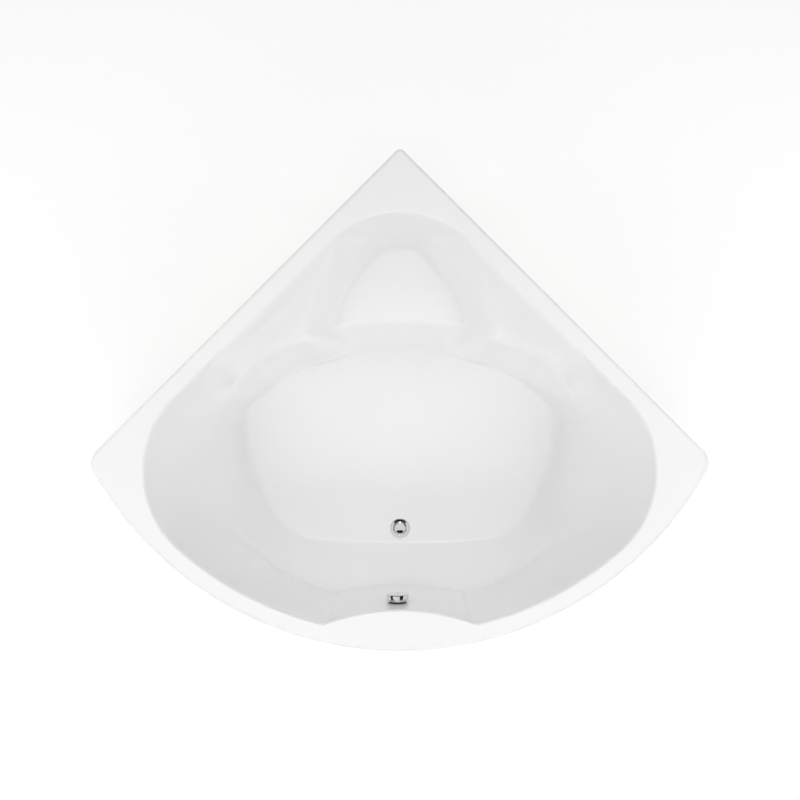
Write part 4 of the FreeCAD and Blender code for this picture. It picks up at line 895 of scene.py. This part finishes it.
screw = Build()
sp = [(0, -660), (2.4, -660), (2.4, -652.4), (3.7, -652.4), (3.9, -652.1), (3.85, -651.2), (3.2, -650.7), (1.9, -650.45), (1.9, -651.9), (0, -651.9)]
v, f = lathe(soft_profile(sp, 0.15, 3), OV, Y_AX, 48)
screw.put(v, f)
fix_normals(screw.done("knob_screw_form", [CHROME_SOFT], "knob", ["knob_screw"], 40))

# plug: pressed dome with a rolled edge
plug = Build()
prof = [(0, 173.4), (20.4, 173.4), (20.4, 174.3), (22.2, 174.5), (22.4, 175.0), (22.4, 176.2), (21.9, 176.8), (21.0, 177.1), (20.2, 176.95), (19.6, 176.8),
        (18.6, 176.88), (16.0, 177.27), (12.0, 177.85), (8.0, 178.35), (4.0, 178.7), (0, 178.8)]
plug.put(*lathe(soft_profile(prof, 0.35, 3, False), DR, (0, 0, 1), 128, False))
fix_normals(plug.done("plug_form", [CHROME], "plug", ["plug_cap"], 40))

# drain ring with its cross bars
ring = Build()
prof = [(23.0, 175.4), (23.0, 171.0), (19.6, 171.0), (19.6, 168.0), (23.0, 168.0), (23.0, 158.0), (25.4, 158.0), (25.4, 175.0), (36.0, 175.0), (36.0, 176.0),
        (35.3, 177.1), (34.4, 177.45), (33.4, 177.35), (31.0, 177.03), (28.5, 176.7), (26.2, 176.4), (24.4, 176.15), (23.6, 175.9)]
ring.put(*lathe(soft_profile(prof, 0.3, 3), DR, (0, 0, 1), 144))
ring.put(*lathe(soft_profile([(4.4, 160.0), (7.5, 160.0), (7.5, 168.0), (4.4, 168.0)], 0.5, 3), DR, (0, 0, 1), 48))
for k in range(3):
    w = math.radians(120 * k)
    cw, sw = math.cos(w), math.sin(w)
    pts = []
    for s0, z0 in ((6.9, 161.0), (23.1, 161.0), (23.1, 168.0), (6.9, 168.0)):
        for t0 in (-1.2, 1.2):
            pts.append(((s0 * cw - t0 * sw) * MM, (DRAIN_Y + s0 * sw + t0 * cw) * MM, z0 * MM))
    ring.put(pts, [(0, 1, 3, 2), (2, 3, 5, 4), (4, 5, 7, 6), (6, 7, 1, 0), (0, 2, 4, 6), (1, 7, 5, 3)])
fix_normals(ring.done("drain_ring_form", [CHROME], "bath", ["drain_flange"], 38))

# ---------------------------------------------------------------- outline pieces: panel and ribs
def outline_points(inset, y_max, step_mm=9.0):
    """Parallel of the outline along the front, left to right, ending on y = y_max."""
    rf, rs = R_FRONT - inset, R_SIDE - inset
    # right half: from the middle of the front round to the wall line
    tx, ty = on_circle(SIDE_X, SIDE_Y, rf)
    th = math.atan2(tx, -(ty - Y_FRONT_C))
    n = int(th * rf / step_mm)
    pts = [(rf * math.sin(th * q / n), Y_FRONT_C - rf * math.cos(th * q / n)) for q in range(n + 1)]
    a0, a1 = math.atan2(ty - SIDE_Y, tx - SIDE_X), math.pi / 4
    m = 14
    pts += [(SIDE_X + rs * math.cos(a0 + (a1 - a0) * q / m), SIDE_Y + rs * math.sin(a0 + (a1 - a0) * q / m)) for q in range(1, m + 1)]
    x, y = pts[-1]
    if y < y_max:
        cnt = max(1, int((y_max - y) * RT2 / step_mm))
        pts += [(x - (y_max - y) * q / cnt, y + (y_max - y) * q / cnt) for q in range(1, cnt + 1)]
    else:
        while pts[-2][1] > y_max:
            pts.pop()
        (xa, ya), (xb, yb) = pts[-2], pts[-1]
        t = (y_max - ya) / (yb - ya)
        pts[-1] = (xa + (xb - xa) * t, y_max)
    return pts


def strip(pts, thick, z0, z1, round_r, rows=6):
    """Standing strip along a line: section with rounded edges, swept along points with the outer face on the line."""
    pts = np.array(pts)
    d = np.gradient(pts, axis=0)
    d /= np.linalg.norm(d, axis=1)[:, None]
    n_in = np.stack([-d[:, 1], d[:, 0]], 1)
    sec = []                                                     # (inset, z), outer face up, inner face down
    for z in np.linspace(z0 + round_r, z1 - round_r, rows):
        sec.append((0.0, z))
    for t in (30, 60, 90):
        w = math.radians(t)
        sec.append((round_r * (1 - math.cos(w)), z1 - round_r * (1 - math.sin(w))))
    for t in (0, 30, 60, 90):
        w = math.radians(t)
        sec.append((thick - round_r * (1 - math.sin(w)), z1 - round_r * (1 - math.cos(w))))
    for z in np.linspace(z1 - round_r, z0 + round_r, rows)[1:]:
        sec.append((thick, z))
    for t in (30, 60, 90):
        w = math.radians(t)
        sec.append((thick - round_r * (1 - math.cos(w)), z0 + round_r * (1 - math.sin(w))))
    for t in (0, 30, 60):
        w = math.radians(t)
        sec.append((round_r * (1 - math.sin(w)), z0 + round_r * (1 - math.cos(w))))
    k, m = len(sec), len(pts)
    verts = []
    for i in range(m):
        for s, z in sec:
            verts.append(((pts[i, 0] + n_in[i, 0] * s) * MM, (pts[i, 1] + n_in[i, 1] * s) * MM, z * MM))
    faces = []
    for i in range(m - 1):
        for j in range(k):
            q = (j + 1) % k
            faces.append((i * k + j, (i + 1) * k + j, (i + 1) * k + q, i * k + q))
    faces.append(tuple(range(k))[::-1])
    faces.append(tuple((m - 1) * k + j for j in range(k)))
    return verts, faces


def both_sides(pts):
    return [(-x, y) for x, y in pts[::-1][:-1]] + list(pts)


panel = Build()
panel.put(*strip(both_sides(outline_points(3.0, -168.0)), 4.0, 12.0, 577.0, 1.6, 14))
fix_normals(panel.done("panel_form", [ACRYLIC], "panel", ["panel_sheet"], 40))

ribs = Build()
for z0 in (30.0, 520.0):
    rr = R_FRONT - 7.0
    th = math.radians(50)
    pts = [(rr * math.sin(th * q / 90), Y_FRONT_C - rr * math.cos(th * q / 90)) for q in range(-90, 91)]
    ribs.put(*strip(pts, 4.0, z0, z0 + 40.0, 1.2, 4))
fix_normals(ribs.done("panel_ribs_form", [LAMINATE], "panel", ["panel_ribs"], 40))


# ---------------------------------------------------------------- legs
def thread(r_out, r_in, pitch, x, y, z0, z1, seg=20, per=4):
    """Threaded rod: a helical surface between two flat chamfered ends."""
    turns = (z1 - z0) / pitch
    rows = int(turns * per)
    verts, faces = [], []
    for i in range(rows + 1):
        z = z0 + (z1 - z0) * i / rows
        end = min(1.0, (z - z0) / 1.5, (z1 - z) / 1.5)
        for j in range(seg):
            w = 2 * math.pi * j / seg
            ph = (z / pitch - j / seg) % 1.0
            tri = 1.0 - abs(2 * ph - 1.0)
            tri = min(max((tri - 0.1) / 0.8, 0.0), 1.0)
            r = r_in + (r_out - r_in) * tri
            r = min(r, r_in - 0.3 + (r_out - r_in + 0.3) * max(end, 0.0))
            verts.append(((x + r * math.cos(w)) * MM, (y + r * math.sin(w)) * MM, z * MM))
    for i in range(rows):
        for j in range(seg):
            k = (j + 1) % seg
            faces.append((i * seg + j, i * seg + k, (i + 1) * seg + k, (i + 1) * seg + j))
    faces.append(tuple(range(seg))[::-1])
    faces.append(tuple(rows * seg + j for j in range(seg)))
    return verts, faces


def hexnut(af, p, d, h, bore, chamfer=0.8):
    """Nut with turned-down corners on both faces."""
    d, u, w = frame_of(d)
    p = np.asarray(p, float)
    n = 48
    half = af / 2.0
    rc = half / math.cos(math.pi / 6)
    rings = []

    def ringat(z, lim):
        out = []
        for q in range(n):
            t = 2 * math.pi * q / n
            r = half / math.cos(((t + math.pi / 6) % (math.pi / 3)) - math.pi / 6)
            r = min(r, lim)
            out.append((p + d * z + r * (math.cos(t) * u + math.sin(t) * w)) * MM)
        return out

    def circ(z, r):
        return [(p + d * z + r * (math.cos(2 * math.pi * q / n) * u + math.sin(2 * math.pi * q / n) * w)) * MM for q in range(n)]
    rings.append(circ(0, bore + 0.5) if bore else None)
    rings.append(ringat(0, half * 0.99))
    rings.append(ringat(chamfer * 0.55, (half + rc) / 2))
    rings.append(ringat(chamfer, rc))
    rings.append(ringat(h - chamfer, rc))
    rings.append(ringat(h - chamfer * 0.55, (half + rc) / 2))
    rings.append(ringat(h, half * 0.99))
    verts, faces = [], []
    if bore:
        rings += [circ(h, bore + 0.5), circ(h - 0.5, bore), circ(0.5, bore)]
        k = len(rings)
        for r in rings:
            verts += r
        for a in range(k):
            b = (a + 1) % k
            for q in range(n):
                j = (q + 1) % n
                faces.append((a * n + q, a * n + j, b * n + j, b * n + q))
    else:
        rings = rings[1:]
        for r in rings:
            verts += r
        for a in range(len(rings) - 1):
            for q in range(n):
                j = (q + 1) % n
                faces.append((a * n + q, a * n + j, (a + 1) * n + j, (a + 1) * n + q))
        faces.append(tuple(range(n))[::-1])
        faces.append(tuple((len(rings) - 1) * n + q for q in range(n)))
    return verts, faces


RUN_Z, BEAM_Z, BEAM_Y = 138.5, 113.5, -190.0
LEGS = {"back": (0.0, 640.0, RUN_Z), "left": (-830.0, BEAM_Y, BEAM_Z), "right": (830.0, BEAM_Y, BEAM_Z),
        "front_left": (-330.0, -655.0, RUN_Z), "front_right": (330.0, -655.0, RUN_Z)}
nuts = Build()
for name, (x, y, z) in LEGS.items():
    top = z + (46 if z == RUN_Z else 44)
    rod = Build()
    rod.put(*thread(6.0, 5.05, 1.75, x, y, 6.0, top))
    fix_normals(rod.done("leg_rod_form_" + name, [ROD_ZINC], "leg_" + name, ["leg_rod_" + name], 60))
    foot = Build()
    fp = [(0, 0), (21.5, 0), (22.6, 0.35), (24.6, 1.8), (25, 2.6), (25, 7.4), (24.4, 8.4), (22, 10.5), (16, 11.4), (13.4, 12.4), (12.8, 13.4), (12.2, 24.8),
          (11.6, 25.8), (10.6, 26), (7.2, 26), (6.6, 25.6), (6.05, 24.6), (6.05, 6), (0, 6)]
    foot.put(*lathe(soft_profile(fp, 0.5, 2, False), (x, y, 0), (0, 0, 1), 64, False))
    for q in range(8):
        w = math.radians(45 * q + 12)
        cw, sw = math.cos(w), math.sin(w)
        pts = []
        for s0, z0 in ((12.0, 10.6), (22.6, 9.2), (21.8, 11.6), (12.0, 21.0)):
            for t0 in (-1.0, 1.0):
                pts.append(((x + s0 * cw - t0 * sw) * MM, (y + s0 * sw + t0 * cw) * MM, z0 * MM))
        foot.put(pts, [(0, 1, 3, 2), (2, 3, 5, 4), (4, 5, 7, 6), (6, 7, 1, 0), (0, 2, 4, 6), (1, 7, 5, 3)])
    fix_normals(foot.done("leg_foot_form_" + name, [FOOT], "leg_" + name, ["leg_foot_" + name], 40))
    nuts.put(*hexnut(19, (x, y, z + 12.5), (0, 0, 1), 10, 6.4))
    nuts.put(*hexnut(19, (x, y, z - 12.5), (0, 0, -1), 10, 6.4))
fix_normals(nuts.done("leg_nuts_form", [ZINC], "bath", ["leg_nuts"], 30))


# ---------------------------------------------------------------- overflow hose: ribbed pipe on its fixed run
def run_points(start, corner, finish, rad, step_mm):
    a, b, c = (np.array(k, float) for k in (start, corner, finish))
    d1, d2 = (a - b) / np.linalg.norm(a - b), (c - b) / np.linalg.norm(c - b)
    half = math.acos(float(d1 @ d2)) / 2
    k = rad / math.tan(half)
    p, q = b + d1 * k, b + d2 * k
    cen = b + (d1 + d2) / np.linalg.norm(d1 + d2) * rad / math.sin(half)
    pts = [(a + (p - a) * t, (b - a)) for t in np.linspace(0, 1, int(np.linalg.norm(p - a) / step_mm) + 1)[:-1]]
    tot = math.pi - 2 * half
    u = (p - cen) / rad
    v = (b - a) / np.linalg.norm(b - a)
    n = int(tot * rad / step_mm) + 1
    for t in range(n):
        w = tot * t / n
        pts.append((cen + rad * (math.cos(w) * u + math.sin(w) * v), -math.sin(w) * u + math.cos(w) * v))
    pts += [(q + (c - q) * t, (c - b)) for t in np.linspace(0, 1, int(np.linalg.norm(c - q) / step_mm) + 1)]
    return pts


def ribbed(pts, r_hi, r_lo, rib, plain, side, seg=36):
    """Pipe along points; ribs between plain cuffs at both ends."""
    pos = np.array([p for p, _ in pts])
    s = np.concatenate([[0], np.cumsum(np.linalg.norm(np.diff(pos, axis=0), axis=1))])
    verts, faces = [], []
    side = np.array(side, float)
    for i, (p, d) in enumerate(pts):
        d = d / np.linalg.norm(d)
        w = np.cross(d, side)
        if s[i] < plain or s[i] > s[-1] - plain:
            r = r_hi - 0.4
        else:
            ph = ((s[i] - plain) / rib) % 1.0
            r = r_lo + (r_hi - r_lo) * (0.5 - 0.5 * math.cos(2 * math.pi * ph)) ** 0.6
        for j in range(seg):
            t = 2 * math.pi * j / seg
            verts.append((p + r * (math.cos(t) * side + math.sin(t) * w)) * MM)
    for i in range(len(pts) - 1):
        for j in range(seg):
            k = (j + 1) % seg
            faces.append((i * seg + j, i * seg + k, (i + 1) * seg + k, (i + 1) * seg + j))
    m = len(pts)
    # wall thickness at both ends
    for end in (0, m - 1):
        p, d = pts[end]
        d = d / np.linalg.norm(d)
        w = np.cross(d, side)
        base = len(verts)
        for rr in (12.9,):
            for j in range(seg):
                t = 2 * math.pi * j / seg
                verts.append((p + rr * (math.cos(t) * side + math.sin(t) * w)) * MM)
        for j in range(seg):
            k = (j + 1) % seg
            faces.append((end * seg + j, base + j, base + k, end * seg + k))
    return verts, faces


hose = Build()
hose.put(*ribbed(run_points((OVER_X, -712.0, 467.0), (OVER_X, -712.0, 140.0), (OVER_X, -503.5, 140.0), 60.0, 0.9), 16.0, 13.9, 5.2, 24.0, (1, 0, 0)))
fix_normals(hose.done("overflow_hose_form", [GREY_PP], "bath", ["overflow_hose"], 60))

# ---------------------------------------------------------------- finishes of the pieces that stay
FINISH = {
    "base_board": (BOARD, 1.2), "wall_battens": (PLY_RIGHT, 0.8), "front_batten": (PLY_ALONG, 0.8), "back_corner_block": (PLY_ALONG, 0.8),
    "side_blocks": (PLY_ALONG, 0.8), "deck_block": (PLY_ALONG, 0.8),
    "runners": (POWDER, 0.9), "cross_beam": (POWDER, 0.9), "spine_beam": (POWDER, 0.9), "upright_back": (POWDER, 0.9), "uprights_side": (POWDER, 0.9),
    "uprights_front": (POWDER, 0.9),
    "frame_brackets": (ZINC, 0.5), "frame_bolts": (ZINC, 0.3), "frame_nuts": (ZINC, 0.3), "saddle_plates": (ZINC, 0.4), "wall_brackets": (ZINC, 0.5),
    "board_screws": (ZINC, 0.2), "timber_screws": (ZINC, 0.2), "crank_pin": (STEEL, 0.2), "panel_clips": (ZINC, 0.3), "panel_tongues": (ZINC, 0.4),
    "hose_clips": (STEEL, 0.3), "tube_end_caps": (BLACK, 0.5), "cable_sheath": (BLACK, 0.0), "overflow_rosette": (CHROME, 0.2), "plug_stem": (STEEL, 0.2),
    "knob_spindle": (STEEL, 0.2), "cable_end_low": (STEEL, 0.2), "drain_seal": (RUBBER, 0.4), "plug_seal": (RUBBER, 0.2),
    "overflow_seal_front": (RUBBER, 0.0), "overflow_seal_back": (RUBBER, 0.0), "waste_body": (WHITE_PP, 0.4), "trap_nut": (WHITE_PP, 0.4),
    "trap_cup": (WHITE_PP, 0.4), "outlet_nut": (WHITE_PP, 0.4), "outlet_pipe": (WHITE_PP, 0.3), "overflow_body": (WHITE_PP, 0.5),
    "bell_crank": (GREY_PP, 0.2), "yoke_slider": (GREY_PP, 0.3),
}
for name, (mat, edge) in FINISH.items():
    ob = NODES[name]
    for s in range(max(1, len(ob.material_slots))):
        if not ob.material_slots:
            ob.data.materials.append(mat)
        ob.material_slots[s].link = "OBJECT"
        ob.material_slots[s].material = mat
    if edge:
        bev = ob.modifiers.new("edges", "BEVEL")
        bev.width = edge * MM
        bev.segments = 2
        bev.limit_method = "ANGLE"
        bev.angle_limit = math.radians(35)
        bev.harden_normals = True
        bev.use_clamp_overlap = True

# light: (place, aim, size, power)
LIGHTS = {
    "top_soft": ((0.0, 0.0, 5.0), (0.0, 0.0, 0.4), (3.0, 3.0), 77.5),
    "front_soft": ((0.0, -3.6, 3.0), (0.0, 0.0, 0.4), (4.0, 1.8), 43.0),
    "back_soft": ((0.0, 3.6, 3.0), (0.0, 0.0, 0.4), (4.0, 1.8), 32.9),
    "front_near": ((0.0, -2.0, 1.7), (0.0, 0.1, 0.5), (3.2, 0.7), 10.8),
    "left_near": ((-2.0, -1.2, 1.6), (0.2, 0.0, 0.5), (0.8, 2.0), 7.7),
    "right_near": ((2.0, -1.2, 1.6), (-0.2, 0.0, 0.5), (0.8, 2.0), 7.7),
    "left_soft": ((-2.6, 0.6, 2.2), (0.0, 0.0, 0.5), (0.8, 2.4), 26.9),
    "right_soft": ((2.6, 0.6, 2.2), (0.0, 0.0, 0.5), (0.8, 2.4), 26.9),
}
# boxes that only show as reflections: (place, aim, size, radiance)
GLOSS = {
    "gloss_top": ((0.0, 1.05, 20.5), (0.0, 1.05, 0.0), (16.2, 15.7), 0.75),
    "gloss_left": ((-16.0, -4.1, 20.5), (-16.0, -4.1, 0.0), (15.7, 4.75), 0.85),
    "gloss_right": ((6.0, -2.0, 2.4), (0.0, -0.7, 0.5), (2.5, 2.8), 0.9),
    "line_back": ((0.0, 10.9, 20.5), (0.0, 10.9, 0.0), (6.0, 3.6), 4.5),
    "line_front": ((0.0, -15.7, 20.5), (0.0, -15.7, 0.0), (16.0, 4.5), 5.0),
}
WORLD = 0.02
FLOOR_GLOW = 0.678

# ---------------------------------------------------------------- floor, light and camera
floor_mat = Mat("studio_floor", (0.36, 0.36, 0.36), 0.85)
grain = floor_mat.noise(30.0, 3.0, 0.5)
floor_mat.color(floor_mat.blend(floor_mat.range(grain, 0.3, 0.7, 0.0, 1.0), (0.365, 0.365, 0.365), (0.355, 0.355, 0.356)))
floor_mat.b.inputs["Emission Color"].default_value = (1.0, 1.0, 1.0, 1.0)
floor_mat.b.inputs["Emission Strength"].default_value = FLOOR_GLOW
fl = bpy.data.meshes.new("studio_floor")
k = 24
grid = np.linspace(-14, 14, k + 1)
fl.from_pydata([(x, y, -0.0004) for y in grid for x in grid], [], [(j * (k + 1) + i, j * (k + 1) + i + 1, (j + 1) * (k + 1) + i + 1, (j + 1) * (k + 1) + i) for j in range(k) for i in range(k)])
floor = bpy.data.objects.new("studio_floor", fl)
bpy.context.scene.collection.objects.link(floor)
fl.materials.append(floor_mat.m)

# plain wall far round the floor, seen by the camera alone
wall_mat = Mat("studio_wall", (0.02, 0.02, 0.02), 0.9)
wall_mat.rough(wall_mat.range(wall_mat.noise(2.0, 3.0, 0.5), 0.3, 0.7, 0.85, 0.95))
wall_mat.b.inputs["Emission Color"].default_value = (1.0, 1.0, 1.0, 1.0)
wall_mat.b.inputs["Emission Strength"].default_value = 0.74
wl = bpy.data.meshes.new("studio_wall")
turns = [2.0 * math.pi * q / 96 for q in range(96)]
wl.from_pydata([(13.6 * math.cos(q), 13.6 * math.sin(q), z) for z in (-0.002, 16.0) for q in turns], [],
               [((q + 1) % 96, q, 96 + q, 96 + (q + 1) % 96) for q in range(96)])
wl.materials.append(wall_mat.m)
smooth(wl)
wall = bpy.data.objects.new("studio_wall", wl)
bpy.context.scene.collection.objects.link(wall)
for kind in ("diffuse", "glossy", "transmission", "volume_scatter", "shadow"):
    setattr(wall, "visible_" + kind, False)


def area_light(name, loc, aim, size, power, gloss_only):
    data = bpy.data.lights.new(name, "AREA")
    data.shape = "RECTANGLE"
    data.size, data.size_y = size
    data.energy = power
    ob = bpy.data.objects.new(name, data)
    ob.visible_camera = False
    ob.visible_diffuse = not gloss_only
    ob.visible_glossy = gloss_only
    ob.location = loc
    ob.rotation_euler = (Vector(aim) - Vector(loc)).to_track_quat("-Z", "Y").to_euler()
    bpy.context.scene.collection.objects.link(ob)


for name, (loc, aim, size, power) in LIGHTS.items():
    area_light(name, loc, aim, size, power, False)
for name, (loc, aim, size, radiance) in GLOSS.items():
    area_light(name, loc, aim, size, radiance * math.pi * size[0] * size[1], True)

world = bpy.data.worlds.new("studio")
bpy.context.scene.world = world
world.use_nodes = True
wt = world.node_tree
wt.nodes.clear()
wo = wt.nodes.new("ShaderNodeOutputWorld")
bg = wt.nodes.new("ShaderNodeBackground")
wt.links.new(bg.outputs[0], wo.inputs[0])
bg.inputs["Color"].default_value = (1.0, 1.0, 1.0, 1.0)
bg.inputs["Strength"].default_value = WORLD

cam_data = bpy.data.cameras.new("camera")
cam = bpy.data.objects.new("camera", cam_data)
bpy.context.scene.collection.objects.link(cam)
cam.location = (0.0, 0.0, 4.020)
cam.rotation_euler = (0.0, 0.0, 0.0)
cam_data.lens = 46.97
cam_data.sensor_width = 36.0
cam_data.clip_end = 60.0
bpy.context.scene.camera = cam
bpy.context.scene.view_settings.view_transform = "Standard"
bpy.context.scene.view_settings.look = "None"
